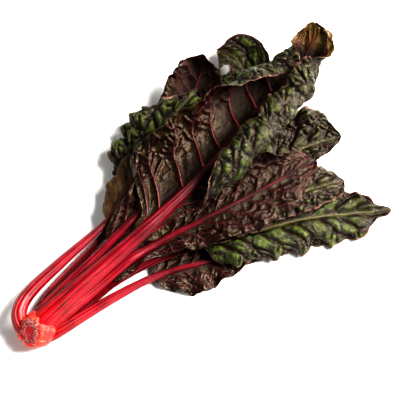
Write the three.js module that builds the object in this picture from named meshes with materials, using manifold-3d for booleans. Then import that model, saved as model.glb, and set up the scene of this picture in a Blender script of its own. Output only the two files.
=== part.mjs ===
// Swiss chard bunch: one whole head, cut off at the root, lying on its side.
// A short crown carries eleven red stalks. Each stalk runs on as the midrib of one crinkled leaf.
// Millimetres. +X runs from the crown to the leaf tips, +Z is up, and the crown rests on the origin.
import * as THREE from "three";
import { mergeVertices } from "three/addons/utils/BufferGeometryUtils.js";
import Module from "manifold-3d";

const wasm = await Module();
wasm.setup();

// Driving dimensions
const BLADE_THICKNESS = 1.2;
const GAP = 0.35; // between a stalk and what it grows from or lies against
const RIB_GAP = 0.8; // between a midrib's flat face and the blade
const LEAF_SPACING = 3; // clear height between leaves that lie on each other
const BLADE_STEP = 16; // along a blade, from one row of facets to the next
const STALK_SIDES = 10; // even: half of them on the flat face
const STALK_STEP = 24; // along a bare stalk, closer still where it leaves the crown
const CROWDING = 1.4; // 1 would space a bare stalk's rings evenly, more draws them to the crown
const RIDGE_DEPTH = 0.95; // of a stalk's round face at its ridges, as a share of its half width
const FACE_DEPTH = 0.88; // and between them
const CHANNEL = 0.12; // depth of the channel in a stalk's flat face, as the same share

// The cut crown: a short bulb whose axis dips from the cut face towards the leaves
const CROWN = {
  cutCentre: [-10, 1, 33],
  dip: 50,
  profile: [
    [0, 15.4],
    [1.5, 17],
    [8, 20.3],
    [18, 22.3],
    [28, 20.6],
    [36, 14],
    [41, 7],
  ],
  end: 44, // where its hidden inner end closes on the axis
  sides: 16,
};

// Stubs of outer stalks cut away with the root: angle round the axis from its low side,
// half width, and how far each stops below the cut face
const STUB = { length: 26, halfDepth: 5, fromAxis: 18.3 };
const STUBS = [
  { angle: 22, halfWidth: 9, below: -1 },
  { angle: 66, halfWidth: 7, below: 6 },
  { angle: 112, halfWidth: 8, below: 8 },
  { angle: 240, halfWidth: 10, below: 6 },
  { angle: 288, halfWidth: 9, below: 3 },
  { angle: 335, halfWidth: 8, below: 0 },
];

// One entry for each leaf, from the table up. A route is the line of the midrib's flat face.
// under: 1 when the leaf's underside, with its round rib, faces up; -1 when it faces down.
// Each half of a blade is a list of stations: share of the blade's length, half width, and
// the angles above level at 0, 1/3, 2/3 and all of that width. Past 90 a margin rolls inwards.
const LEAVES = [
  {
    name: "back",
    under: -1,
    stalk: 6,
    rib: 440,
    blade: 235,
    columns: 4,
    route: [
      [2, 3, 12],
      [60, 14, 11],
      [150, 34, 10],
      [250, 60, 7],
      [340, 82, 6],
      [405, 96, 12],
      [438, 112, 20],
      [449, 142, 22],
      [440, 170, 16],
    ],
    left: [
      [0, 8, 0, 0, 0, 0],
      [0.1, 40, 0, 0, 5, 0],
      [0.5, 50, 0, 10, 15, 10],
      [0.72, 34, 0, 20, 30, 0],
      [0.84, 19, 0, 20, 30, 0],
      [0.93, 29, 0, 20, 10, -20],
      [1, 5, 10, 30, 20, 0],
    ],
    right: [
      [0, 8, 0, 0, 0, 0],
      [0.1, 40, 0, 0, 0, 0],
      [0.5, 52, 5, 5, 15, 25],
      [0.8, 44, 0, 20, 40, 40],
      [0.92, 34, 0, 20, 40, 40],
      [1, 4, 0, 20, 40, 40],
    ],
    waves: 5,
    wave: 5,
  },
  {
    name: "right_tip",
    under: -1,
    stalk: 6,
    rib: 400,
    blade: 250,
    columns: 4,
    route: [
      [4, -1, 12],
      [60, -2, 11],
      [150, -4, 10],
      [250, -8, 8],
      [350, -12, 9],
      [430, -22, 14],
      [480, -42, 16],
    ],
    left: [
      [0, 8, 0, 0, 0, 0],
      [0.15, 40, 0, 0, 0, 0],
      [0.6, 50, 0, 5, 20, 20],
      [0.85, 48, 0, 30, 50, -20],
      [0.94, 38, 0, 20, 40, -20],
      [1, 6, 0, 10, 20, 0],
    ],
    right: [
      [0, 8, 0, 0, 0, 0],
      [0.15, 36, 0, 0, 0, 0],
      [0.7, 32, 0, 0, 5, 5],
      [0.9, 18, 0, 10, 20, -10],
      [1, 5, 0, 10, 10, 0],
    ],
    waves: 5,
    wave: 4,
  },
  {
    name: "front",
    under: 1,
    stalk: 6.8,
    rib: 330,
    blade: 168,
    columns: 4,
    route: [
      [-4, -5, 12],
      [10, -15, 17],
      [58, -20, 14],
      [102, -25, 12],
      [145, -32, 10],
      [180, -42, 7],
      [212, -56, 5],
      [250, -74, 4],
      [296, -92, 3],
    ],
    left: [
      [0, 8, 0, 0, 0, 0],
      [0.2, 28, 5, 5, 5, 5],
      [0.6, 34, 0, 0, 5, 5],
      [1, 9, 0, 0, 0, 0],
    ],
    right: [
      [0, 8, 0, 0, 0, 0],
      [0.15, 24, 0, -5, -5, 5],
      [0.33, 36, 0, -4, 0, 10],
      [0.7, 22, 0, 0, 5, 5],
      [1, 9, 0, 0, 0, 0],
    ],
    waves: 5,
    wave: 5,
  },
  {
    name: "front_right",
    under: -1,
    stalk: 6.2,
    rib: 400,
    blade: 235,
    columns: 4,
    route: [
      [4, -4, 17],
      [60, -6, 15],
      [120, -11, 14],
      [170, -20, 17],
      [220, -38, 18],
      [290, -70, 16],
      [360, -100, 14],
      [420, -136, 8],
      [460, -162, 8],
    ],
    left: [
      [0, 8, 0, 0, 0, 0],
      [0.1, 36, 5, 5, 5, 5],
      [0.6, 36, 5, 10, 10, 0],
      [0.82, 28, 10, 20, 20, 0],
      [0.94, 10, 20, 10, 0, -10],
      [1, 8, 20, 10, 0, -10],
    ],
    right: [
      [0, 8, 0, 0, 0, 0],
      [0.08, 34, 30, 0, -40, -70],
      [0.4, 44, 20, 5, -30, -75],
      [0.66, 40, 10, 0, -30, -70],
      [0.85, 28, 0, 0, -20, -40],
      [0.93, 10, 0, 0, -20, -40],
      [1, 8, 0, 0, 0, 0],
    ],
    waves: 6,
    wave: 4,
  },
  {
    name: "right_low",
    under: -1,
    stalk: 5,
    rib: 390,
    blade: 230,
    columns: 4,
    route: [
      [2, -6, 12],
      [60, -8, 11],
      [150, -16, 9],
      [250, -34, 12],
      [330, -58, 18],
      [388, -78, 24],
      [434, -96, 21],
    ],
    left: [
      [0, 8, 0, 0, 0, 0],
      [0.15, 30, 0, 0, 0, 0],
      [0.6, 34, 10, 15, 5, 0],
      [0.85, 27, 25, 30, 0, -30],
      [0.95, 20, 15, 15, 0, -20],
      [1, 7, 10, 0, -10, -20],
    ],
    right: [
      [0, 8, 0, 0, 0, 0],
      [0.15, 26, 0, 0, 0, 0],
      [0.6, 26, 5, 5, 0, 0],
      [0.85, 26, 25, 10, -20, -50],
      [0.95, 19, 15, 0, -10, -30],
      [1, 7, 10, 0, -10, -20],
    ],
    waves: 4,
    wave: 3,
  },
  {
    name: "hood",
    under: 1,
    stalk: 5.5,
    rib: 380,
    blade: 265,
    columns: 4,
    route: [
      [2, 4, 20],
      [60, 11, 19],
      [150, 36, 16],
      [250, 76, 14],
      [330, 118, 16],
      [376, 140, 22],
      [396, 150, 40],
      [403, 154, 58],
    ],
    left: [
      [0, 8, 0, 0, 0, 0],
      [0.15, 26, 0, 5, 5, 5],
      [0.6, 38, 0, 20, 30, 30],
      [0.85, 38, 0, 20, 50, 60],
      [1, 8, 0, 0, 10, 10],
    ],
    right: [
      [0, 8, 0, 0, 0, 0],
      [0.15, 30, 0, 5, 5, 5],
      [0.6, 40, 0, 20, 30, 30],
      [0.85, 38, 0, 20, 50, 60],
      [1, 8, 0, 0, 10, 10],
    ],
    waves: 4,
    wave: 2.5,
  },
  {
    name: "back_left",
    under: -1,
    stalk: 6,
    rib: 330,
    blade: 200,
    columns: 4,
    route: [
      [0, 9, 13],
      [32, 29, 11],
      [72, 39, 11],
      [112, 46, 11],
      [152, 54, 12.5],
      [190, 68, 15],
      [230, 92, 18],
      [280, 110, 22],
      [330, 124, 26],
      [372, 132, 26],
    ],
    left: [
      [0, 8, 0, 0, 0, 0],
      [0.12, 18, 0, 20, 0, -50],
      [0.35, 46, 0, 25, -10, -70],
      [0.65, 46, 0, 20, -10, -60],
      [0.78, 24, 0, 20, 0, -50],
      [1, 6, 0, 0, 0, 0],
    ],
    right: [
      [0, 8, 0, 0, 0, 0],
      [0.12, 30, 0, 0, 0, 0],
      [0.5, 50, 0, 10, 15, 10],
      [0.8, 44, 0, 10, 15, 10],
      [1, 6, 0, 0, 0, 0],
    ],
    waves: 4,
    wave: 3,
  },
  {
    name: "right",
    under: 1,
    stalk: 7.8,
    rib: 340,
    blade: 118,
    columns: 5,
    route: [
      [-4, -1, 16],
      [12, -5, 23],
      [60, -4, 22],
      [114, -2, 22],
      [163, -4, 24],
      [206, -11, 26],
      [255, -23, 28],
      [302, -35, 31],
      [366, -47, 33],
      [420, -54, 30],
    ],
    left: [
      [0, 8, 0, 0, 0, 0],
      [0.15, 14, 10, 10, 10, 10],
      [0.4, 34, 0, 10, 20, 20],
      [0.65, 48, 5, 20, 30, 20],
      [0.85, 48, 5, 30, 80, 120],
      [1, 8, 10, 20, 30, 30],
    ],
    right: [
      [0, 8, 0, 0, 0, 0],
      [0.2, 12, 0, 0, 0, 0],
      [0.4, 30, 0, 0, 0, 10],
      [0.65, 44, 0, 0, 0, -20],
      [0.85, 38, 0, 0, -20, -50],
      [1, 6, 0, 0, -10, -20],
    ],
    waves: 6,
    wave: 5,
  },
  {
    name: "left",
    under: 1,
    stalk: 8.2,
    rib: 300,
    blade: 200,
    columns: 4,
    route: [
      [-8, 5, 13],
      [-12, 18, 19],
      [-4, 34, 22],
      [20, 46, 21],
      [76, 54, 20],
      [163, 61, 23],
      [205, 74, 24],
      [245, 92, 23],
      [300, 108, 21],
    ],
    left: [
      [0, 8, 0, 0, 0, 0],
      [0.25, 28, 10, -5, -20, -25],
      [0.5, 27, 10, 0, -15, -20],
      [0.7, 18, 0, 0, 0, 0],
      [1, 6, 0, 0, 0, 0],
    ],
    right: [
      [0, 8, 0, 0, 0, 0],
      [0.2, 24, 10, 15, 10, 0],
      [0.5, 36, 5, 10, 10, 0],
      [1, 6, 0, 0, 0, 0],
    ],
    waves: 4,
    wave: 3.5,
  },
  {
    name: "inner_left",
    under: 1,
    stalk: 6.8,
    rib: 360,
    blade: 150,
    columns: 4,
    route: [
      [-6, 6, 18],
      [12, 14, 22],
      [60, 23, 21],
      [114, 29, 22],
      [170, 35, 28],
      [217, 40, 33],
      [278, 55, 33],
      [340, 78, 32],
      [385, 98, 30],
    ],
    left: [
      [0, 8, 0, 0, 0, 0],
      [0.15, 22, 20, 35, 35, 20],
      [0.5, 36, 5, 10, 10, 10],
      [1, 6, 0, 0, 0, 0],
    ],
    right: [
      [0, 8, 0, 0, 0, 0],
      [0.15, 16, 0, 0, 5, 5],
      [0.5, 36, 0, 5, 5, 5],
      [1, 6, 0, 0, 0, 0],
    ],
    waves: 5,
    wave: 4,
  },
  {
    name: "top",
    under: 1,
    stalk: 10.6,
    rib: 480,
    blade: 180,
    columns: 7,
    route: [
      [-4, 0, 20],
      [10, 2, 30],
      [60, 6, 33],
      [122, 9, 36],
      [200, 12, 42],
      [300, 22, 46],
      [400, 46, 50],
      [460, 56, 55],
      [500, 62, 66],
      [522, 70, 82],
      [533, 80, 101],
    ],
    left: [
      [0, 8, 0, 0, 0, 0],
      [0.06, 12, 10, 20, 20, 20],
      [0.11, 44, 5, 10, 10, 0],
      [0.17, 80, 0, 5, 0, -10],
      [0.32, 84, 0, 15, 40, 50],
      [0.5, 80, 5, 30, 70, 100],
      [0.68, 84, 5, 25, 125, 190],
      [0.84, 60, 10, 50, 150, 210],
      [0.93, 25, 10, 20, 30, 40],
      [1, 10, 0, 0, 10, 20],
    ],
    right: [
      [0, 8, 0, 0, 0, 0],
      [0.1, 14, 0, 5, 10, 20],
      [0.2, 26, 0, 10, 40, 70],
      [0.27, 64, 0, 20, 100, 160],
      [0.34, 92, 0, 20, 120, 200],
      [0.45, 100, 0, 20, 125, 205],
      [0.6, 102, 0, 20, 125, 205],
      [0.78, 90, 5, 20, 120, 205],
      [0.88, 60, 10, 45, 105, 130],
      [0.94, 34, 10, 25, 50, 60],
      [1, 14, 0, 0, 10, 20],
    ],
    waves: 7,
    wave: 4,
  },
];

// What lies below the table's surface, as a box that trims the crown
const TABLE = { side: 200, depth: 100 };

// How a stalk narrows into the midrib: share of its half width at shares of the rib's length
const TAPER_AT = [0, 0.13, 0.28, 0.43, 0.67, 1];
const TAPER = [1.35, 1.17, 1, 0.84, 0.5, 0.2];

// The blade's section and relief
const SLOPE_AT = [0, 1 / 3, 2 / 3, 1];
const SECTION_STEPS = 420;
const VEINS = 8; // side veins on each half blade
const VEIN_SWEEP = 1.2; // how far a vein leans forward, in vein spacings
const PILLOW = 2.2; // height of the blade's puffs between side veins
const PILLOW_REACH = 1.15; // above 1 the puffs flatten out before the margin
const WAVE_POWER = 1.6; // above 1 the waves grow towards the margin
const WAVE_SHIFT = 2; // radians between the waves of the two margins
const RELIEF_FROM = 0.12; // share of the blade's length over which its relief sets in

// A smooth curve through values at rising knots, read at one place
function smooth(knots, values, at) {
  const last = knots.length - 1;
  const x = Math.min(Math.max(at, knots[0]), knots[last]);
  let i = 0;
  while (i < last - 1 && x > knots[i + 1]) i += 1;
  const slopeOf = (k) => {
    const a = Math.max(k - 1, 0);
    const b = Math.min(k + 1, last);
    return (values[b] - values[a]) / (knots[b] - knots[a]);
  };
  const span = knots[i + 1] - knots[i];
  const s = (x - knots[i]) / span;
  const s2 = s * s;
  const s3 = s2 * s;
  return (
    (2 * s3 - 3 * s2 + 1) * values[i] +
    (s3 - 2 * s2 + s) * span * slopeOf(i) +
    (3 * s2 - 2 * s3) * values[i + 1] +
    (s3 - s2) * span * slopeOf(i + 1)
  );
}

const radians = (degrees) => (degrees * Math.PI) / 180;

// The midrib's line: its length, and the point, side and upward directions at a distance along it
function routeOf(points) {
  const knots = [0];
  for (let i = 1; i < points.length; i += 1) {
    knots.push(knots[i - 1] + Math.hypot(...points[i].map((c, k) => c - points[i - 1][k])));
  }
  const columns = [0, 1, 2].map((k) => points.map((p) => p[k]));
  const length = knots[knots.length - 1];
  const pointAt = (t) => new THREE.Vector3(...columns.map((c) => smooth(knots, c, t)));
  const frameAt = (t) => {
    const tangent = pointAt(Math.min(t + 1, length)).sub(pointAt(Math.max(t - 1, 0))).normalize();
    const side = new THREE.Vector3(0, 0, 1).cross(tangent).normalize();
    return { point: pointAt(t), side, up: tangent.clone().cross(side) };
  };
  return { length, frameAt };
}

const ribHalfWidth = (leaf, t) => leaf.stalk * smooth(TAPER_AT, TAPER, t / leaf.rib);

// Places across one half blade, from the rib's edge to the margin: distance out, height and slope
function halfSection(half, share) {
  const knots = half.map((station) => station[0]);
  const [width, ...slopes] = [1, 2, 3, 4, 5].map((k) => {
    return smooth(knots, half.map((station) => station[k]), share);
  });
  const places = [{ out: 0, rise: 0, slope: radians(slopes[0]) }];
  const step = width / SECTION_STEPS;
  for (let k = 0; k < SECTION_STEPS; k += 1) {
    const slope = radians(smooth(SLOPE_AT, slopes, (k + 0.5) / SECTION_STEPS));
    const last = places[k];
    places.push({
      out: last.out + Math.cos(slope) * step,
      rise: last.rise + Math.sin(slope) * step,
      slope,
    });
  }
  return places;
}

// Distances along the route of a blade's rows of points
function rowPlaces(leaf, route) {
  const length = route.length - leaf.blade;
  const count = Math.ceil(length / BLADE_STEP);
  return Array.from({ length: count + 1 }, (_, r) => leaf.blade + (length * r) / count);
}

// Distances of a stalk's rings: closest at the crown, and then at the blade's rows, so that
// the midrib's facets stay parallel to the blade's
function ringPlaces(leaf, route) {
  const count = Math.ceil(leaf.blade / STALK_STEP);
  const bare = Array.from({ length: count }, (_, k) => leaf.blade * (k / count) ** CROWDING);
  return [...bare, ...rowPlaces(leaf, route).filter((t) => t <= leaf.rib)];
}

// A point of the blade's middle surface: distance along the route, hand, and 0 to 1 across
function bladePoint(leaf, route, t, hand, across) {
  const share = (t - leaf.blade) / (route.length - leaf.blade);
  const { point, side, up } = route.frameAt(t);
  const edge = ribHalfWidth(leaf, t) + RIB_GAP;
  const half = hand > 0 ? leaf.left : leaf.right;
  const level = -leaf.under * (RIB_GAP + BLADE_THICKNESS / 2);
  const place = halfSection(half, share)[Math.round(across * SECTION_STEPS)];
  const phase = 2 * Math.PI * leaf.waves * share + (hand > 0 ? 0 : WAVE_SHIFT);
  const ruffle = leaf.wave * across ** WAVE_POWER * Math.sin(phase);
  const vein = Math.abs(Math.sin(Math.PI * (share * VEINS - across * VEIN_SWEEP)));
  const reach = Math.sin(Math.PI * Math.min(across * PILLOW_REACH, 1));
  const puff = -leaf.under * PILLOW * (vein - 0.5) * reach;
  const lift = (ruffle + puff) * Math.min(share / RELIEF_FROM, 1);
  const out = edge + place.out - Math.sin(place.slope) * lift;
  const rise = level + place.rise + Math.cos(place.slope) * lift;
  return point.addScaledVector(side, hand * out).addScaledVector(up, rise);
}

// The blade's middle surface as rows of points, from the right margin to the left one
function bladeRows(leaf, route) {
  const steps = Array.from({ length: leaf.columns + 1 }, (_, c) => c / leaf.columns);
  return rowPlaces(leaf, route).map((t) => {
    const right = steps.map((across) => bladePoint(leaf, route, t, -1, across));
    const left = steps.map((across) => bladePoint(leaf, route, t, 1, across));
    return [...right.reverse(), ...left];
  });
}

// A point of a stalk's section, across it and out from its flat face. Corners 0 and half way
// are the section's two edges. Between them lie the round face, where every other corner is a
// ridge, and then the shallow channel of the flat face.
function sectionPoint(half, corner, grow) {
  const angle = (2 * Math.PI * corner) / STALK_SIDES;
  const across = Math.cos(angle) * (half + grow);
  const opposite = STALK_SIDES / 2;
  if (corner % opposite === 0) return [across, -grow];
  if (corner > opposite) return [across, half * CHANNEL - grow];
  const depth = half * (corner % 2 ? RIDGE_DEPTH : FACE_DEPTH);
  return [across, Math.sin(angle) * (depth + grow)];
}

// The stalk's surface as rings of points, its round face on the leaf's underside. Each ring
// starts high on that face, which sees all the other corners, so that its cap can be a fan.
function stalkRings(leaf, route, grow) {
  const first = Math.floor(STALK_SIDES / 4);
  return ringPlaces(leaf, route).map((t) => {
    const { point, side, up } = route.frameAt(t);
    const half = ribHalfWidth(leaf, t);
    return Array.from({ length: STALK_SIDES }, (_, s) => {
      const corner = (first + leaf.under * s + STALK_SIDES) % STALK_SIDES;
      const [across, high] = sectionPoint(half, corner, grow);
      return point.clone().addScaledVector(side, across).addScaledVector(up, leaf.under * high);
    });
  });
}

// The pile: the height of what already lies on the table, on a square grid
const CELL = 6;
const GRID = { x0: -90, y0: -240, columns: 118, rows: 86 };
const cells = () => new Float64Array(GRID.columns * GRID.rows);
const FREE_FROM = 70; // nearer the crown than this a stalk is held by it and is not lifted
const FREE_AT = 150;
const LIFT_PASSES = 3; // facets are wider than cells, so a raised leaf is laid again
const FACET_SAMPLES = 4; // along each edge of a facet, to find the cells that it covers
const SPREAD_PASSES = 60; // how widely a lift is spread, in cells squared
const SMOOTH_PASSES = 3;

function cellOf(x, y) {
  const i = Math.floor((x - GRID.x0) / CELL);
  const j = Math.floor((y - GRID.y0) / CELL);
  return j * GRID.columns + i;
}

// Points spread over the patch between two rows and two columns
function facetSamples(rows, r, c) {
  const samples = [];
  for (let a = 0; a <= FACET_SAMPLES; a += 1) {
    const near = rows[r][c].clone().lerp(rows[r][c + 1], a / FACET_SAMPLES);
    const far = rows[r + 1][c].clone().lerp(rows[r + 1][c + 1], a / FACET_SAMPLES);
    for (let b = 0; b <= FACET_SAMPLES; b += 1) {
      samples.push(near.clone().lerp(far, b / FACET_SAMPLES));
    }
  }
  return samples;
}

// Marks the lowest and highest point of a surface over each cell
function envelope(surfaces) {
  const low = cells().fill(Infinity);
  const high = cells().fill(-Infinity);
  for (const rows of surfaces) {
    for (let r = 0; r + 1 < rows.length; r += 1) {
      for (let c = 0; c + 1 < rows[r].length; c += 1) {
        for (const p of facetSamples(rows, r, c)) {
          const cell = cellOf(p.x, p.y);
          low[cell] = Math.min(low[cell], p.z);
          high[cell] = Math.max(high[cell], p.z);
        }
      }
    }
  }
  return { low, high };
}

// Each cell takes the largest, or the mean, of its three by three neighbours
function neighbours(field, largest) {
  const out = cells();
  for (let j = 1; j + 1 < GRID.rows; j += 1) {
    for (let i = 1; i + 1 < GRID.columns; i += 1) {
      let sum = 0;
      let top = -Infinity;
      for (let dj = -1; dj <= 1; dj += 1) {
        for (let di = -1; di <= 1; di += 1) {
          const v = field[(j + dj) * GRID.columns + i + di];
          sum += v;
          top = Math.max(top, v);
        }
      }
      out[j * GRID.columns + i] = largest ? top : sum / 9;
    }
  }
  return out;
}

// How far a leaf has to rise, cell by cell, to lie clear on the pile: never less than is
// needed, and spread smoothly round each place that needs it
function liftField(pile, low) {
  const need = cells();
  for (let k = 0; k < need.length; k += 1) {
    if (low[k] < Infinity) need[k] = Math.max(0, pile[k] + LEAF_SPACING - low[k]);
  }
  const wide = neighbours(need, true);
  let field = wide;
  for (let pass = 0; pass < SPREAD_PASSES; pass += 1) {
    const mean = neighbours(field, false);
    field = mean.map((v, k) => Math.max(v, wide[k]));
  }
  for (let pass = 0; pass < SMOOTH_PASSES; pass += 1) field = neighbours(field, false);
  return field;
}

function readField(field, x, y) {
  const u = (x - GRID.x0) / CELL - 0.5;
  const v = (y - GRID.y0) / CELL - 0.5;
  const i = Math.floor(u);
  const j = Math.floor(v);
  const a = u - i;
  const b = v - j;
  const at = (di, dj) => field[(j + dj) * GRID.columns + i + di];
  const near = at(0, 0) * (1 - a) + at(1, 0) * a;
  const far = at(0, 1) * (1 - a) + at(1, 1) * a;
  return near * (1 - b) + far * b;
}

function raise(rows, field) {
  for (const p of rows.flat()) {
    const free = THREE.MathUtils.smoothstep(p.x, FREE_FROM, FREE_AT);
    p.z += free * readField(field, p.x, p.y);
  }
}

// A closed thin solid from a middle surface: both faces are split along the same diagonals
function sheetGeometry(rows) {
  const columns = rows[0].length;
  const positions = [];
  const normal = (r, c) => {
    const along = rows[Math.min(r + 1, rows.length - 1)][c]
      .clone()
      .sub(rows[Math.max(r - 1, 0)][c]);
    const across = rows[r][Math.min(c + 1, columns - 1)]
      .clone()
      .sub(rows[r][Math.max(c - 1, 0)]);
    return along.cross(across).normalize();
  };
  for (const hand of [1, -1]) {
    rows.forEach((row, r) =>
      row.forEach((p, c) => {
        const q = p.clone().addScaledVector(normal(r, c), (hand * BLADE_THICKNESS) / 2);
        positions.push(q.x, q.y, Math.max(q.z, 0));
      }),
    );
  }
  const back = rows.length * columns;
  const index = [];
  for (let r = 0; r + 1 < rows.length; r += 1) {
    for (let c = 0; c + 1 < columns; c += 1) {
      const a = r * columns + c;
      const [b, d, e] = [a + 1, a + columns, a + columns + 1];
      index.push(a, d, e, a, e, b);
      index.push(back + a, back + e, back + d, back + a, back + b, back + e);
    }
  }
  const rim = [];
  for (let c = 0; c + 1 < columns; c += 1) rim.push(c);
  for (let r = 0; r + 1 < rows.length; r += 1) rim.push((r + 1) * columns - 1);
  for (let c = columns - 1; c > 0; c -= 1) rim.push((rows.length - 1) * columns + c);
  for (let r = rows.length - 1; r > 0; r -= 1) rim.push(r * columns);
  rim.forEach((a, k) => {
    const b = rim[(k + 1) % rim.length];
    index.push(a, b, back + b, a, back + b, back + a);
  });
  const geometry = new THREE.BufferGeometry();
  geometry.setAttribute("position", new THREE.Float32BufferAttribute(positions, 3));
  geometry.setIndex(index);
  return geometry;
}

// A closed tube through rings of points, with a flat cap at each end
function tubeGeometry(rings) {
  const sides = rings[0].length;
  const positions = rings.flat().flatMap((p) => [p.x, p.y, p.z]);
  const index = [];
  for (let k = 0; k + 1 < rings.length; k += 1) {
    for (let s = 0; s < sides; s += 1) {
      const a = k * sides + s;
      const b = k * sides + ((s + 1) % sides);
      index.push(a, b, b + sides, a, b + sides, a + sides);
    }
  }
  const last = (rings.length - 1) * sides;
  for (let s = 1; s + 1 < sides; s += 1) {
    index.push(0, s + 1, s);
    index.push(last, last + s, last + s + 1);
  }
  const geometry = new THREE.BufferGeometry();
  geometry.setAttribute("position", new THREE.Float32BufferAttribute(positions, 3));
  geometry.setIndex(index);
  return geometry;
}

const MERGE_WITHIN = 1e-4;

function solidOf(geometry) {
  const bare = geometry.clone();
  bare.deleteAttribute("normal");
  bare.deleteAttribute("uv");
  const merged = mergeVertices(bare, MERGE_WITHIN);
  return new wasm.Manifold(
    new wasm.Mesh({
      numProp: 3,
      vertProperties: merged.attributes.position.array,
      triVerts: new Uint32Array(merged.index.array),
    }),
  );
}

function geometryOf(solid) {
  const mesh = solid.getMesh();
  const geometry = new THREE.BufferGeometry();
  geometry.setAttribute("position", new THREE.BufferAttribute(mesh.vertProperties, 3));
  geometry.setIndex(new THREE.BufferAttribute(mesh.triVerts, 1));
  return geometry;
}

// The largest body of a solid: what a cut leaves behind on its far side is dropped
function largest(solid) {
  return solid.decompose().sort((a, b) => b.volume() - a.volume())[0];
}

// Turns a shape built along +Z into the crown's axis, from the cut face down towards the leaves
function alongCrown(geometry) {
  const dip = radians(CROWN.dip);
  const axis = new THREE.Vector3(Math.cos(dip), 0, -Math.sin(dip));
  const turn = new THREE.Quaternion().setFromUnitVectors(new THREE.Vector3(0, 0, 1), axis);
  return geometry.applyQuaternion(turn).translate(...CROWN.cutCentre);
}

// The bulb: its outline turned round the crown's axis
function bulbSolid(grow) {
  const profile = CROWN.profile.map(([z, r]) => new THREE.Vector2(r + grow, z));
  const ends = [-grow, CROWN.end + grow].map((z) => new THREE.Vector2(0, z));
  const bulb = new THREE.LatheGeometry([ends[0], ...profile, ends[1]], CROWN.sides);
  return solidOf(alongCrown(bulb.rotateX(Math.PI / 2)));
}

// A stub: a flattened egg that lies along the bulb's side and is sunk into it
function stubSolid(stub, grow) {
  const shape = new THREE.SphereGeometry(1, 8, 6);
  shape.scale(STUB.halfDepth + grow, stub.halfWidth + grow, STUB.length / 2 + grow);
  shape.translate(STUB.fromAxis, 0, stub.below + STUB.length / 2);
  shape.rotateZ(radians(stub.angle));
  return solidOf(alongCrown(shape));
}

// The crown: bulb and stubs in one, cut flat where it rests on the table
function crownSolid(grow) {
  const whole = STUBS.reduce((solid, stub) => solid.add(stubSolid(stub, grow)), bulbSolid(grow));
  const table = new THREE.BoxGeometry(TABLE.side, TABLE.side, TABLE.depth);
  return whole.subtract(solidOf(table.translate(0, 0, -TABLE.depth / 2)));
}

// Fresh colours: orange-red root, crimson stalks, green upper and dark burgundy lower leaf faces
const FINISHES = {
  crown: { color: 0xd8312c, roughness: 0.5 },
  stalk: { color: 0xc4102f, roughness: 0.35 },
  leafUpper: { color: 0x3b4a20, roughness: 0.55 },
  leafUnder: { color: 0x3a1a17, roughness: 0.55 },
};

function meshOf(name, geometry, finish) {
  const flat = geometry.toNonIndexed();
  flat.computeVertexNormals();
  const material = new THREE.MeshStandardMaterial({ ...finish, metalness: 0 });
  const mesh = new THREE.Mesh(flat, material);
  mesh.name = name;
  return mesh;
}

const bunch = new THREE.Group();
bunch.name = "swiss_chard_bunch";
bunch.add(meshOf("crown", geometryOf(crownSolid(0)), FINISHES.crown));

const pile = cells().fill(-LEAF_SPACING);
let taken = crownSolid(GAP);
for (const leaf of LEAVES) {
  const route = routeOf(leaf.route);
  const blade = bladeRows(leaf, route);
  const stalk = stalkRings(leaf, route, 0);
  const clearance = stalkRings(leaf, route, GAP);
  for (let pass = 0; pass < LIFT_PASSES; pass += 1) {
    const field = liftField(pile, envelope([blade, stalk]).low);
    for (const rows of [blade, stalk, clearance]) raise(rows, field);
  }
  const { high } = envelope([blade, stalk]);
  high.forEach((h, k) => {
    pile[k] = Math.max(pile[k], h);
  });
  const stalkSolid = largest(solidOf(tubeGeometry(stalk)).subtract(taken));
  taken = taken.add(solidOf(tubeGeometry(clearance)));
  const leafFinish = leaf.under > 0 ? FINISHES.leafUnder : FINISHES.leafUpper;
  bunch.add(meshOf("stalk_" + leaf.name, geometryOf(stalkSolid), FINISHES.stalk));
  bunch.add(meshOf("leaf_" + leaf.name, sheetGeometry(blade), leafFinish));
}

export default bunch;
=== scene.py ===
import math

import bpy
import numpy as np
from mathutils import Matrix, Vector


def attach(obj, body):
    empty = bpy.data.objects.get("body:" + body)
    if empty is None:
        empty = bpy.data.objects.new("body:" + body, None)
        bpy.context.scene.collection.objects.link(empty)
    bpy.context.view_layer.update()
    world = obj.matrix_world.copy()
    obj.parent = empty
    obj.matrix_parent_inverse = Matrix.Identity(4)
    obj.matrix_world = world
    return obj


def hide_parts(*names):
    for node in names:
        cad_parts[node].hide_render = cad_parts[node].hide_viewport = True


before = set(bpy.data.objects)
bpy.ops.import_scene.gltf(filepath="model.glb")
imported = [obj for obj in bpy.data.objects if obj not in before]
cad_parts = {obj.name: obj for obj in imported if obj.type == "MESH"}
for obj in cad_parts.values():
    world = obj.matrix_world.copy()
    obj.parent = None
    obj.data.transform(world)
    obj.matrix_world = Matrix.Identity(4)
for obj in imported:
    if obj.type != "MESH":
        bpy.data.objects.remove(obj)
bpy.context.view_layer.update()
scene = bpy.context.scene

# The camera
# It stands to the left of the crown and high above it, looks down along the bunch, and sees the
# whole head.
MM = 0.001
LOOK_AT = Vector((255.5, -11.6, 72.5)) * MM
DISTANCE = 1500 * MM
AZIMUTH = math.radians(-40)
ELEVATION = math.radians(65)

towards_camera = Vector((
    math.sin(AZIMUTH) * math.cos(ELEVATION),
    -math.cos(AZIMUTH) * math.cos(ELEVATION),
    math.sin(ELEVATION),
))
camera = bpy.data.objects.new("camera", bpy.data.cameras.new("camera"))
camera.data.lens = 106.3
camera.data.sensor_width = 36
camera.data.clip_end = 20
camera.location = LOOK_AT + towards_camera * DISTANCE
camera.rotation_euler = (-towards_camera).to_track_quat("-Z", "Y").to_euler()
scene.collection.objects.link(camera)
scene.camera = camera

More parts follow.
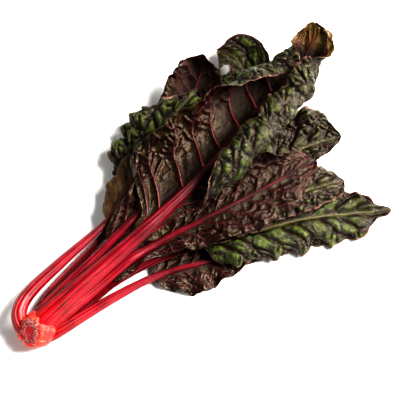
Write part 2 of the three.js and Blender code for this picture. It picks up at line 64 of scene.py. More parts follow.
# The crown
# The short root end that all stalks grow from, cut off straight across. The cut shows red pith
# inside a ragged ring of pale fibres. Stubs of trimmed outer stalks stand round it.
CUT_CENTRE = np.array([-10, 1, 33])
CUT_DIP = math.radians(50)
CUT_RADIUS = 17
BULB_PROFILE = [
    (0, 0), (0, 7), (0.2, 15), (1.5, 17), (8, 20.3), (18, 22.3), (28, 20.6), (36, 14), (41, 7), (44, 0),
]
BULB_RINGS, BULB_SIDES = 70, 96
STUB_RINGS, STUB_SIDES = 24, 32
STUB_LENGTH = 26
STUB_HALF_DEPTH = 5
STUB_FROM_AXIS = 18.3
STUBS = [  # angle round the axis in degrees, half width, how far each stops below the cut
    (22, 9, -1),
    (66, 7, 6),
    (112, 8, 8),
    (240, 10, 6),
    (288, 9, 3),
    (335, 8, 0),
]
CROWN_VOXEL = 0.55
TILES = 64  # the random tables repeat after this many hills
MIX = {"data_type": "RGBA"}
TIMES = {"operation": "MULTIPLY"}
LESS = {"operation": "SUBTRACT"}


def colour(text):
    """Linear RGBA of an sRGB hex value."""
    parts = [int(text[k : k + 2], 16) / 255 for k in (1, 3, 5)]
    return (*[c / 12.92 if c <= 0.04045 else ((c + 0.055) / 1.055) ** 2.4 for c in parts], 1)


def add(tree, kind, settings, inputs):
    """A shader node with its settings, or a ramp's stops. An input is a value, an output or a node."""
    node = tree.nodes.new("ShaderNode" + kind)
    for key, value in settings.items():
        if key == "stops":
            band = node.color_ramp.elements
            while len(band) < len(value):
                band.new(0.5)
            for element, (place, text) in zip(band, value):
                element.position = place
                element.color = colour(text)
        else:
            setattr(node, key, value)
    for key, value in inputs.items():
        if isinstance(value, bpy.types.Node):
            value = next(output for output in value.outputs if output.enabled)
        if isinstance(value, bpy.types.NodeSocket):
            tree.links.new(value, node.inputs[key])
        else:
            node.inputs[key].default_value = value
    return node


def new_material(name, fields):
    """An empty material, its tree, and the point attributes that it is drawn by."""
    material = bpy.data.materials.new(name)
    material.use_nodes = True
    tree = material.node_tree
    tree.nodes.clear()
    field = {}
    for key in fields:
        node = add(tree, "Attribute", {"attribute_name": key}, {})
        field[key] = node.outputs["Vector" if key == "flat" else "Fac"]
    return material, tree, field


def unit(vectors):
    return vectors / np.maximum(np.linalg.norm(vectors, axis=-1, keepdims=True), 1e-9)


def smoothstep(x, low, high):
    s = np.clip((x - low) / (high - low), 0, 1)
    return s * s * (3 - 2 * s)


def between(table, i, j, a, b):
    """Values of a table, shares a and b of the way on from row i and column j."""
    near = table[i, j] * (1 - a) + table[i + 1, j] * a
    far = table[i, j + 1] * (1 - a) + table[i + 1, j + 1] * a
    return near * (1 - b) + far * b


def hills(x, y, size, seed):
    """Smooth random heights from -1 to 1, on hills about size wide."""
    table = np.random.default_rng(seed).uniform(-1, 1, (TILES, TILES))
    u, v = np.broadcast_arrays(x / size, y / size)
    i, j = np.floor(u).astype(int), np.floor(v).astype(int)
    a, b = smoothstep(u - i, 0, 1), smoothstep(v - j, 0, 1)
    return between(np.pad(table, (0, 1), "wrap"), i % TILES, j % TILES, a, b)


def mesh_piece(name, points, faces, fields, materials):
    """An object of points in millimetres, with its point attributes and materials."""
    mesh = bpy.data.meshes.new(name)
    mesh.from_pydata((np.asarray(points) * MM).tolist(), [], faces)
    for field, values in fields.items():
        kind, slot = ("FLOAT_VECTOR", "vector") if np.ndim(values) == 2 else ("FLOAT", "value")
        layer = mesh.attributes.new(field, kind, "POINT")
        layer.data.foreach_set(slot, np.ravel(values).astype(np.float32))
    for material in materials:
        mesh.materials.append(material)
    mesh.shade_smooth()
    piece = bpy.data.objects.new(name, mesh)
    scene.collection.objects.link(piece)
    return piece


def tube_faces(rings, sides, offset=0):
    """Quads between rings of points, and a cap over each end."""
    k, s = np.meshgrid(np.arange(rings - 1), np.arange(sides), indexing="ij")
    a = k * sides + s
    b = k * sides + (s + 1) % sides
    quads = np.stack([a, b, b + sides, a + sides], -1).reshape(-1, 4) + offset
    last = (rings - 1) * sides
    caps = [list(range(sides - 1, -1, -1)), list(range(last, last + sides))]
    return quads.tolist() + [[v + offset for v in cap] for cap in caps]


def cut_root_material():
    """Fresh chard root: wet, fibrous beet tissue, orange-red outside, pith and pale fibres on the cut.
    Gives the eye a matt torn ring of threads against a moist, saturated red."""
    material, tree, field = new_material(
        "fresh_cut_chard_root", ("radius", "on_cut", "torn_tip", "scrap")
    )
    place = add(tree, "TexCoord", {}, {}).outputs["Object"]
    # threads about 0.6 mm apart in the real root, drawn 1.3 to 2.6 mm apart so that they show
    threads = add(tree, "TexNoise", {}, {
        "Vector": place, "Scale": 380.0, "Detail": 5.0, "Roughness": 0.7,
    })
    # clumps of fibres 7 mm wide
    clumps = add(tree, "TexNoise", {}, {"Vector": place, "Scale": 150.0, "Detail": 3.0})
    even = add(tree, "Math", LESS, {0: clumps, 1: 0.5})
    drift = add(tree, "Math", TIMES, {0: even, 1: 1.6})
    torn = add(tree, "Math", {"operation": "ADD"}, {0: field["radius"], 1: drift})
    rings = add(tree, "ValToRGB", {"stops": [
        (0.0, "#bc0a20"), (0.3, "#c01024"), (0.5, "#b4303a"), (0.7, "#a43436"), (0.9, "#a81c18"),
        (1.0, "#b01814"),
    ]}, {"Fac": torn})
    fibres = add(tree, "ValToRGB", {"stops": [
        (0.38, "#6e1014"), (0.5, "#b0605c"), (0.6, "#dcb4a8"),
    ]}, {"Fac": threads})
    ring_share = add(tree, "ValToRGB", {"stops": [
        (0.28, "#000000"), (0.46, "#e8e8e8"), (0.8, "#d0d0d0"), (0.96, "#000000"),
    ]}, {"Fac": torn})
    face = add(tree, "Mix", MIX, {0: ring_share, 6: rings, 7: fibres})
    outside = add(tree, "ValToRGB", {"stops": [
        (0.3, "#8c0c12"), (0.46, "#c01818"), (0.58, "#d03020"), (0.75, "#dc5840"),
    ]}, {"Fac": clumps})
    tips = add(tree, "Mix", MIX, {0: field["torn_tip"], 6: outside, 7: colour("#cf4a34")})
    scraps = add(tree, "Mix", MIX, {0: field["scrap"], 6: tips, 7: colour("#4e3416")})
    base = add(tree, "Mix", MIX, {0: field["on_cut"], 6: scraps, 7: face})
    # torn grain 1.1 mm wide
    height = add(tree, "TexNoise", {}, {"Vector": place, "Scale": 900.0, "Detail": 4.0})
    bump = add(tree, "Bump", {}, {"Strength": 0.7, "Distance": 0.0007, "Height": height})
    rough = add(tree, "MapRange", {}, {"Value": threads, "To Min": 0.32, "To Max": 0.62})
    shader = add(tree, "BsdfPrincipled", {}, {
        "Base Color": base,
        "Roughness": rough,
        "Normal": bump,
        "IOR": 1.42,
    })
    add(tree, "OutputMaterial", {}, {"Surface": shader})
    return material


def crown_frame():
    """Axes of the crown: its axis from the cut inwards, and two directions across it."""
    axis = np.array([math.cos(CUT_DIP), 0, -math.sin(CUT_DIP)])
    down = np.array([-math.sin(CUT_DIP), 0, -math.cos(CUT_DIP)])
    return axis, down, np.array([0.0, 1.0, 0.0])


def bulb_points():
    """Rings of the bulb, lobed by the stalk bases that it is made of."""
    axis, down, side = crown_frame()
    depth = np.array([p[0] for p in BULB_PROFILE], float)
    radius = np.array([p[1] for p in BULB_PROFILE], float)
    at = np.linspace(0, len(depth) - 1, BULB_RINGS)
    depth, radius = (np.interp(at, np.arange(len(depth)), v) for v in (depth, radius))
    turn = np.linspace(0, 2 * math.pi, BULB_SIDES, endpoint=False)
    lobes = 1 + 0.035 * np.sin(5 * turn + 0.6) + 0.03 * np.sin(9 * turn)
    r = radius[:, None] * lobes
    return (
        CUT_CENTRE
        + depth[:, None, None] * axis
        + (r * np.cos(turn))[..., None] * down
        + (r * np.sin(turn))[..., None] * side
    ).reshape(-1, 3)


def stub_points(angle, half_width, below):
    """One trimmed stalk base: a flattened egg along the bulb, with a ragged outer end."""
    axis, down, side = crown_frame()
    turn = np.linspace(0, 2 * math.pi, STUB_SIDES, endpoint=False)
    along = -np.cos(np.linspace(0.02, math.pi - 0.02, STUB_RINGS))
    r = np.sqrt(1 - along**2) ** 0.8
    a = math.radians(angle)
    out = math.cos(a) * down + math.sin(a) * side
    across = -math.sin(a) * down + math.cos(a) * side
    centre = CUT_CENTRE + out * STUB_FROM_AXIS + axis * (below + STUB_LENGTH / 2)
    tear = 1.6 * hills(turn * 3, 0 * turn + angle, 1.0, int(angle)) * smoothstep(-along, 0.2, 1)[:, None]
    return (
        centre
        + (along[:, None] * STUB_LENGTH / 2 - tear)[..., None] * axis
        + (r[:, None] * np.cos(turn) * STUB_HALF_DEPTH)[..., None] * out
        + (r[:, None] * np.sin(turn) * half_width)[..., None] * across
    ).reshape(-1, 3)


def fused(name, parts):
    """One skin round overlapping closed bodies, as points and faces in millimetres."""
    points = np.concatenate([p for p, _, _ in parts])
    faces, start = [], 0
    for p, rings, sides in parts:
        faces += tube_faces(rings, sides, start)
        start += len(p)
    rough = mesh_piece(name, points, faces, {}, [])
    skin = rough.modifiers.new("skin", "REMESH")
    skin.mode = "VOXEL"
    skin.voxel_size = CROWN_VOXEL * MM
    settle = rough.modifiers.new("settle", "SMOOTH")
    settle.iterations = 3
    made = rough.evaluated_get(bpy.context.evaluated_depsgraph_get()).to_mesh()
    co = np.empty(len(made.vertices) * 3, np.float32)
    made.vertices.foreach_get("co", co)
    faces = [list(p.vertices) for p in made.polygons]
    bpy.data.objects.remove(rough)
    return co.reshape(-1, 3).astype(float) / MM, faces


def crown_piece():
    """The whole crown, its cut face roughened and its flat spot pressed on the surface."""
    axis, down, side = crown_frame()
    parts = [(bulb_points(), BULB_RINGS, BULB_SIDES)]
    parts += [(stub_points(*stub), STUB_RINGS, STUB_SIDES) for stub in STUBS]
    points, faces = fused("crown_skin", parts)
    from_cut = points - CUT_CENTRE
    depth = from_cut @ axis
    u, v = from_cut @ down, from_cut @ side
    radius = np.hypot(u, v)
    turn = np.arctan2(v, u)
    on_cut = smoothstep(-depth, -1.6, -0.5) * smoothstep(-radius, -CUT_RADIUS, 1.5 - CUT_RADIUS)
    ring = np.exp(-(((radius - 10.5) / 3) ** 2))
    shred = hills(turn * 14, radius * 0.35, 1.0, 5) * 0.7 + hills(u, v, 1.3, 6) * 0.6
    points -= axis * (on_cut * (ring * (0.8 + shred) + 0.25 * hills(u, v, 3, 7)))[:, None]
    outward = unit(from_cut - depth[:, None] * axis)
    ridges = 0.35 * hills(turn * 24, depth * 0.05, 1.0, 8) * (1 - on_cut)
    points += outward * ridges[:, None]
    points[:, 2] = np.maximum(points[:, 2], 0)
    upper = smoothstep(-u, 9, 16) * smoothstep(-depth, -9, -1) * (1 - on_cut)
    fields = {
        "radius": radius / CUT_RADIUS,
        "on_cut": on_cut,
        "torn_tip": smoothstep(-depth, -12, -1) * (0.5 + 0.5 * hills(turn * 5, depth * 0.2, 1.0, 9)),
        "scrap": upper * smoothstep(hills(turn * 9, depth * 0.3, 1.0, 10), -0.1, 0.5),
    }
    return mesh_piece("crown_root", points, faces, fields, [cut_root_material()])


crown = crown_piece()
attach(crown, "root")
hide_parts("crown")

# The back leaf
# The lowest of the pile, at the far left, with its green upper face up and its tip turned over.
# A leaf is one thin crisp blade, puffed between its veins. It grows on a juicy ribbed stalk, which
# comes out of the crown and runs on as its midrib.
ROW_STEP = 1.5  # between the blade's points, along the leaf
COLUMN_STEP = 1.5  # and across it
BLADE_HALF_THICKNESS = 0.32
ABOVE_SURFACE = 0.05  # the least height of any point of a leaf
ROOT_STATION = (0, 8, 0, 0, 0, 0)  # share of the length, width, and slopes in degrees at SLOPE_AT
SLOPE_AT = [0, 1 / 3, 2 / 3, 1]  # shares of a half blade's width
STEPS_PER_COLUMN = 8  # in which these slopes are added up
VEIN_SWEEP = 0.15  # how far forwards a side vein runs, as a share of the blade's length
FORKS_AT = (0.3, 0.47, 0.63, 0.78)  # shares of a side vein's length
VEIN_SIDES = 8
TAPER_AT = [0, 0.13, 0.28, 0.43, 0.67, 1]  # shares of the midrib's length
TAPER = [1.35, 1.17, 1, 0.84, 0.5, 0.2]  # its half width there, by the leaf's own "stalk"
STALK_SIDES = 88
STALK_RING_STEP = 3
STALK_RIDGES = 9
RIB_COLUMNS = 5
RIB_COVERED = 0.9  # share of the midrib's width that the blade runs over
CHANNEL = 0.13  # depth of the stalk's channel, by its half width
SUNK = 0.5  # how deep the blade lies in that channel
CELL = 6  # size of the square cells in which the pile's height is kept
GRID_LOW = np.array([-90, -240])
GRID_SIZE = (118, 86)
LIFT_SPREAD = 60  # cells over which a leaf's lift runs out
FREE_FROM, FREE_AT = 70, 150  # distance from the crown at which a leaf starts to lift, and lifts fully
TINT = {"data_type": "RGBA", "blend_type": "MULTIPLY"}
TIMES_PLUS = {"operation": "MULTIPLY_ADD"}
TO_EDGE = {"feature": "DISTANCE_TO_EDGE"}


def smooth(knots, values, at):
    """A smooth curve through values at rising knots, read at several places."""
    knots, values, at = (np.asarray(a, float) for a in (knots, values, at))
    last = len(knots) - 1
    order = np.arange(last + 1)
    low, high = np.maximum(order - 1, 0), np.minimum(order + 1, last)
    slopes = ((values[high] - values[low]).T / (knots[high] - knots[low])).T
    x = np.clip(at, knots[0], knots[-1])
    i = np.clip(np.searchsorted(knots, x) - 1, 0, last - 1)
    span = knots[i + 1] - knots[i]
    s = (x - knots[i]) / span
    shape = s.shape + (1,) * (values.ndim - 1)
    s, span = s.reshape(shape), span.reshape(shape)
    return (
        (2 * s**3 - 3 * s**2 + 1) * values[i]
        + (s**3 - 2 * s**2 + s) * span * slopes[i]
        + (3 * s**2 - 2 * s**3) * values[i + 1]
        + (s**3 - s**2) * span * slopes[i + 1]
    )


def route_frames(route, at):
    """Points, sideways and upward directions of the midrib's line at distances along it."""
    points = np.asarray(route, float)
    knots = np.concatenate([[0], np.cumsum(np.linalg.norm(np.diff(points, axis=0), axis=1))])
    ahead = smooth(knots, points, np.minimum(at + 1, knots[-1]))
    tangent = unit(ahead - smooth(knots, points, np.maximum(at - 1, 0)))
    side = unit(np.cross([0, 0, 1], tangent))
    return smooth(knots, points, at), side, np.cross(tangent, side)


def beside_route(leaf, at, out, rise):
    """Points at distances sideways and upwards from the midrib's line."""
    point, side, up = route_frames(leaf["route"], at)
    return point[:, None] + side[:, None] * out[..., None] + up[:, None] * rise[..., None]


def route_length(route):
    return np.linalg.norm(np.diff(np.asarray(route, float), axis=0), axis=1).sum()


def rib_half_width(leaf, at):
    """Half width of stalk and midrib, which fines out beyond the rib's end."""
    share = at / leaf["rib"]
    beyond = (at - leaf["rib"]) / max(route_length(leaf["route"]) - leaf["rib"], 1)
    return leaf["stalk"] * smooth(TAPER_AT, TAPER, share) * (1 - 0.75 * np.clip(beyond, 0, 1))


def cell_edges(x, y, size, seed):
    """How far inside its random cell each place lies: 0 on a border, about 1 in the middle."""
    jitter = np.random.default_rng(seed).uniform(0.1, 0.9, (2, TILES, TILES))
    u, v = x / size, y / size
    i, j = np.floor(u).astype(int), np.floor(v).astype(int)
    away = []
    for di in (-1, 0, 1):
        for dj in (-1, 0, 1):
            a, b = (i + di) % TILES, (j + dj) % TILES
            away.append(np.hypot(u - i - di - jitter[0, a, b], v - j - dj - jitter[1, a, b]))
    away = np.sort(np.stack(away), axis=0)
    return np.clip((away[1] - away[0]) * 1.6, 0, 1)


def vein_lines(leaf, hand):
    """Side veins of one half blade and their forks: lists of (share, across, strength) points."""
    rng = np.random.default_rng(leaf["seed"] + (7 if hand > 0 else 0))
    gap = 1 / leaf["veins"]
    lines = []
    for k in range(leaf["veins"]):
        across = np.linspace(0, 0.97, 26)
        start = (k + (0.12 if hand > 0 else 0.45) + rng.uniform(-0.12, 0.12)) * gap
        wobble = 0.12 * gap * np.sin(across * rng.uniform(8, 13) + rng.uniform(0, 6))
        share = start + rng.uniform(0.85, 1.15) * VEIN_SWEEP * across**1.15 + wobble * across
        lines.append(np.stack([share, across, 1 - 0.6 * across], 1))
        for at in FORKS_AT[len(FORKS_AT) - leaf["forks"] :]:
            for way in (-1, 1):
                fork_at = at + rng.uniform(-0.08, 0.08)
                reach = np.linspace(0, 1, 8)
                out = fork_at + reach * rng.uniform(0.1, 0.22)
                slide = way * reach**0.7 * rng.uniform(0.3, 0.55) * gap
                lines.append(np.stack([
                    np.interp(fork_at, across, share) + slide + (out - fork_at) * VEIN_SWEEP,
                    np.minimum(out, 0.985),
                    (0.5 - 0.25 * at) * (1 - 0.6 * reach),
                ], 1))
    return [line[(line[:, 0] > 0.004) & (line[:, 0] < 0.985)] for line in lines]


def vein_nearness(x, y, lines, length, width_at):
    """Distance from each place on the flat half blade to its nearest vein, by the reach of the
    vein's groove and by the width of the vein itself."""
    best = np.full(x.shape, 9.0)
    line_best = np.full(x.shape, 9.0)
    for line in lines:
        if len(line) < 2:
            continue
        px, py = line[:, 0] * length, line[:, 1] * width_at(line[:, 0])
        reach = 3.5 + 6 * line[:-1, 2]
        box = (x > px.min() - 9) & (x < px.max() + 9) & (y > py.min() - 9) & (y < py.max() + 9)
        qx, qy = x[box][:, None], y[box][:, None]
        ax, ay, bx, by = px[:-1], py[:-1], np.diff(px), np.diff(py)
        t = np.clip(((qx - ax) * bx + (qy - ay) * by) / np.maximum(bx**2 + by**2, 1e-9), 0, 1)
        away = np.hypot(qx - ax - t * bx, qy - ay - t * by)
        best[box] = np.minimum(best[box], (away / reach).min(1))
        line_best[box] = np.minimum(line_best[box], (away / (0.5 + 0.9 * line[:-1, 2])).min(1))
    return best, line_best


def column_count(leaf, hand):
    """How many columns of faces a half blade has from its midrib to its margin."""
    widest = max(station[1] for station in leaf["left" if hand > 0 else "right"])
    return int(widest / COLUMN_STEP)


def half_blade(leaf, hand, at):
    """One half blade: distance out and height of its places, and the fields that it is coloured by."""
    stations = np.asarray([ROOT_STATION, *leaf["left" if hand > 0 else "right"]], float)
    length = at[-1] - at[0]
    share = (at - at[0]) / length

    def width_at(s):
        full = smooth(stations[:, 0], stations[:, 1], s)
        return full * np.sqrt(np.clip((1.004 - s) / 0.035, 0.1, 1)) * np.clip(0.2 + s / 0.03, 0, 1)

    columns = column_count(leaf, hand)
    steps = columns * STEPS_PER_COLUMN
    across = np.linspace(0, 1, columns + 1)
    width = width_at(share)
    slopes = smooth(stations[:, 0], stations[:, 2:], share)
    angle = np.radians(smooth(SLOPE_AT, slopes.T, (np.arange(steps) + 0.5) / steps)).T
    step = width[:, None] / steps
    start = np.zeros((len(at), 1))
    out = np.concatenate([start, np.cumsum(np.cos(angle) * step, 1)], 1)[:, ::STEPS_PER_COLUMN]
    rise = np.concatenate([start, np.cumsum(np.sin(angle) * step, 1)], 1)[:, ::STEPS_PER_COLUMN]
    slope = np.radians(smooth(SLOPE_AT, slopes.T, across)).T
    x = (share * length)[:, None] + 0 * across
    y = width[:, None] * across
    seed = leaf["seed"] + (3 if hand > 0 else 0)
    near, line = vein_nearness(x, y, vein_lines(leaf, hand), length, width_at)
    dome = np.sqrt(1 - (1 - np.clip(near, 0, 1)) ** 2)
    sx, sy = x + 3 * hills(x, y, 18, seed + 1), y + 3 * hills(x, y, 18, seed + 2)
    cell = cell_edges(sx * 0.8, sy, leaf["cell"], seed + 5)
    pillow = np.sqrt(1 - (1 - cell) ** 2)
    along_folds = sx - sy * leaf["lean"]
    fold = hills(along_folds, sy * 0.3, leaf["fine"], seed + 6)
    fold += 0.6 * hills(along_folds, sy * 0.6, leaf["fine"] * 0.55, seed + 7)
    reach = smoothstep(across * width[:, None], 0, 8)
    split = leaf["split"] + (leaf["crowd"] - leaf["split"]) * smoothstep(across, 0.35, 0.6)
    puff = leaf["puff"] * (dome * (1 - split * (1 - pillow)) - 0.4)
    puff += leaf["fold"] * fold * dome
    phase = 2 * math.pi * leaf["waves"] * share + (0 if hand > 0 else 2)
    ruffle = leaf["wave"] * across**1.6 * np.sin(phase)[:, None]
    frill = leaf["frill"] * across**4 * (np.sin(phase * 2.6 + 1.5)[:, None] + hills(x, y, 15, seed + 8))
    sag = 2.5 * hills(x, y, 42, seed + 9) * smoothstep(across, 0, 0.4)
    lift = (ruffle + frill + sag - leaf["under"] * puff * reach) * np.clip(share / 0.12, 0, 1)[:, None]
    edge = RIB_COVERED * rib_half_width(leaf, at)[:, None]
    out = edge + out - np.sin(slope) * lift
    rise = -leaf["under"] * SUNK + rise + np.cos(slope) * lift
    fields = {
        "vein": np.exp(-(line**2)) * smoothstep(x, 0, 8),
        "cell": pillow * dome,
        "margin": smoothstep(y, width[:, None] - 3.5, width[:, None] - 0.6),
        "rim": smoothstep(across, 0.72, 0.9) + 0 * x,
        "rib": 0 * x,
        "near": 1 - smoothstep(across, 0.05, 0.42) + 0 * x,
        "share": share[:, None] + 0 * x,
        "flat": np.stack([x, hand * (y + edge), 0 * x + leaf["seed"]], -1) / 100,
    }
    return hand * out, rise, fields


def rib_strip(leaf, at):
    """The part of the blade that runs over the midrib, sunk into its channel."""
    x = np.linspace(-1, 1, RIB_COLUMNS + 2)[1:-1]
    half = rib_half_width(leaf, at)[:, None]
    out = RIB_COVERED * half * x
    rise = leaf["under"] * (CHANNEL * half * (1 - x**2) - SUNK)
    one = np.ones_like(out)
    flat = np.stack([(at - at[0])[:, None] * one, out, one * leaf["seed"]], -1) / 100
    share = ((at - at[0]) / (at[-1] - at[0]))[:, None] * one
    return out, rise, {
        "vein": one, "cell": 0 * one, "margin": 0 * one, "rim": 0 * one, "rib": one, "near": one,
        "share": share, "flat": flat,
    }


def blade_grid(leaf):
    """The blade's middle surface: a grid of points from the right margin to the left one."""
    length = route_length(leaf["route"])
    rows = int((length - leaf["blade"]) / ROW_STEP) + 1
    at = np.linspace(leaf["blade"], length, rows)
    r_out, r_rise, r_fields = half_blade(leaf, -1, at)
    l_out, l_rise, l_fields = half_blade(leaf, 1, at)
    m_out, m_rise, m_fields = rib_strip(leaf, at)
    out = np.concatenate([r_out[:, ::-1], m_out, l_out], 1)
    rise = np.concatenate([r_rise[:, ::-1], m_rise, l_rise], 1)
    fields = {k: np.concatenate([r_fields[k][:, ::-1], m_fields[k], l_fields[k]], 1) for k in m_fields}
    return beside_route(leaf, at, out, rise), fields


def stalk_grid(leaf):
    """The stalk's surface: rings with lengthwise ridges on the round face and a channel in the other."""
    end = route_length(leaf["route"]) - 3
    at = np.linspace(0, end, int(end / STALK_RING_STEP) + 1)
    turn = np.linspace(0, 2 * math.pi, STALK_SIDES, endpoint=False)
    half = rib_half_width(leaf, at)[:, None]
    c, s = np.cos(turn), np.sin(turn)
    ribs = np.abs(np.sin(STALK_RIDGES * turn / 2 + 0.35 * np.sin(at / 90 + leaf["seed"])[:, None])) ** 0.6
    drift = 0.03 * hills(at[:, None] / 40, turn * 3, 1.0, leaf["seed"])
    high = s * (0.8 + 0.16 * ribs + drift)
    low = 0.16 * s**2 - CHANNEL * np.exp(-(((np.abs(c) - RIB_COVERED) / 0.12) ** 2))
    out = leaf["under"] * c * half
    rise = leaf["under"] * half * np.where(s >= 0, high, low)
    fields = {
        # the ridges' height, by which the stalk's skin paints shade into the grooves; the channel side
        # gets a middle value
        "ridge": np.where(s >= 0, ribs, 0.4 + 0 * ribs),
        "along": at[:, None] / 100 + 0 * turn,
        "flat": np.stack([at[:, None] + 0 * turn, half * turn, 0 * half * turn + leaf["seed"]], -1) / 100,
    }
    return beside_route(leaf, at, out, rise), fields


def cells_of(points):
    """The cell of the pile's square grid over which each point lies."""
    i, j = np.floor((points[:, :2] - GRID_LOW) / CELL).astype(int).T
    return i, j


def around(field, largest):
    """Each cell's largest or mean value over its three by three neighbours."""
    padded = np.pad(field, 1)
    near = [padded[a : a + field.shape[0], b : b + field.shape[1]] for a in range(3) for b in range(3)]
    return np.max(near, 0) if largest else np.mean(near, 0)


def lift_field(pile, low):
    """How far a leaf has to rise, cell by cell, to lie clear on the pile, spread smoothly."""
    need = np.where(np.isfinite(low), np.maximum(0, pile - low), 0)
    wide = around(need, True)
    field = wide
    for _ in range(LIFT_SPREAD):
        field = np.maximum(around(field, False), wide)
    for _ in range(3):
        field = around(field, False)
    return field


def raised(points, field):
    """Points lifted by the field, except near the crown, which holds the stalks."""
    u, v = ((points[:, :2] - GRID_LOW) / CELL - 0.5).T
    i, j = np.floor(u).astype(int), np.floor(v).astype(int)
    moved = points.copy()
    moved[:, 2] += smoothstep(points[:, 0], FREE_FROM, FREE_AT) * between(field, i, j, u - i, v - j)
    return moved


pile = np.zeros(GRID_SIZE)


def lay(*grids):
    """Lays a leaf on the pile: every point of it rises by what the leaf needs to clear the pile."""
    shapes = [g.shape for g in grids]
    points = np.concatenate([g.reshape(-1, 3) for g in grids])
    for _ in range(2):
        low = np.full(GRID_SIZE, np.inf)
        np.minimum.at(low, cells_of(points), points[:, 2])
        points = raised(points, lift_field(pile, low))
    np.maximum.at(pile, cells_of(points), points[:, 2])
    cuts = np.cumsum([np.prod(s[:2]) for s in shapes])[:-1]
    return [p.reshape(s) for p, s in zip(np.split(points, cuts), shapes)]


def grid_normals(grid):
    along, across = np.gradient(grid, axis=0), np.gradient(grid, axis=1)
    return unit(np.cross(along, across))


def blade_piece(leaf, grid, fields, normal):
    """The blade as a closed thin body. Its first material is the upper skin, its second the lower."""
    rows, columns = grid.shape[:2]
    top = grid + normal * BLADE_HALF_THICKNESS
    bottom = grid - normal * BLADE_HALF_THICKNESS
    points = np.concatenate([top.reshape(-1, 3), bottom.reshape(-1, 3)])
    points[:, 2] = np.maximum(points[:, 2], ABOVE_SURFACE)
    r, c = np.meshgrid(np.arange(rows - 1), np.arange(columns - 1), indexing="ij")
    a = (r * columns + c).ravel()
    face = np.stack([a, a + columns, a + columns + 1, a + 1], 1)
    back = face[:, ::-1] + rows * columns
    rim = np.concatenate([
        np.arange(columns),
        np.arange(1, rows) * columns + columns - 1,
        np.arange(columns - 2, -1, -1) + (rows - 1) * columns,
        np.arange(rows - 2, 0, -1) * columns,
    ])
    after = np.roll(rim, -1)
    edge = np.stack([rim, after, after + rows * columns, rim + rows * columns], 1)
    both = {k: np.concatenate([v.reshape(rows * columns, -1)] * 2).squeeze() for k, v in fields.items()}
    faces = np.concatenate([face, back, edge])
    piece = mesh_piece("leaf_fine_" + leaf["name"], points, faces.tolist(), both, [upper_skin, lower_skin])
    lower_side = np.concatenate([np.zeros(len(face)), np.ones(len(back)), np.ones(len(edge))])
    if leaf["under"] > 0:
        lower_side[: len(face) * 2] = 1 - lower_side[: len(face) * 2]
    piece.data.polygons.foreach_set("material_index", lower_side.astype(np.int32))
    return piece


def surface_at(grid, row, column):
    """Points of a grid at fractional rows and columns."""
    i = np.clip(np.floor(row).astype(int), 0, grid.shape[0] - 2)
    j = np.clip(np.floor(column).astype(int), 0, grid.shape[1] - 2)
    return between(grid, i, j, (row - i)[:, None], (column - j)[:, None])


def vein_piece(leaf, grid, normal):
    """The raised side veins of the lower face, as tapered cords half sunk in the blade."""
    points, faces, along = [], [], []
    start = 0
    right_columns, left_columns = column_count(leaf, -1), column_count(leaf, 1)
    turn = np.linspace(0, 2 * math.pi, VEIN_SIDES, endpoint=False)
    for hand in (-1, 1):
        for line in vein_lines(leaf, hand):
            if len(line) < 3 or line[0, 0] > leaf["bare"]:
                continue
            t = np.linspace(0, len(line) - 1, len(line) * 3)
            share, across, strength = (np.interp(t, np.arange(len(line)), line[:, k]) for k in range(3))
            row = share * (len(grid) - 1)
            column = (1 - across) * right_columns
            if hand > 0:
                column = right_columns + RIB_COLUMNS + 1 + across * left_columns
            centre = surface_at(grid, row, column)
            up = leaf["under"] * surface_at(normal, row, column)
            side = unit(np.cross(unit(np.gradient(centre, axis=0)), up))
            radius = leaf["vein"] * np.clip(strength, 0.2, 1) ** 1.3
            radius[-1] *= 0.3
            centre = centre + up * (BLADE_HALF_THICKNESS + 0.15 * radius)[:, None]
            ring = (
                centre[:, None]
                + side[:, None] * (radius[:, None] * np.cos(turn))[..., None]
                + up[:, None] * (0.8 * radius[:, None] * np.sin(turn))[..., None]
            )
            points.append(ring.reshape(-1, 3))
            faces += tube_faces(len(ring), VEIN_SIDES, start)
            along.append(np.repeat(1.25 - strength, VEIN_SIDES))
            start += ring.size // 3
    points = np.concatenate(points)
    points[:, 2] = np.maximum(points[:, 2], ABOVE_SURFACE)
    fields = {"along": np.concatenate(along), "red": np.full(len(points), leaf["red"])}
    return mesh_piece("veins_" + leaf["name"], points, faces, fields, [vein_skin])


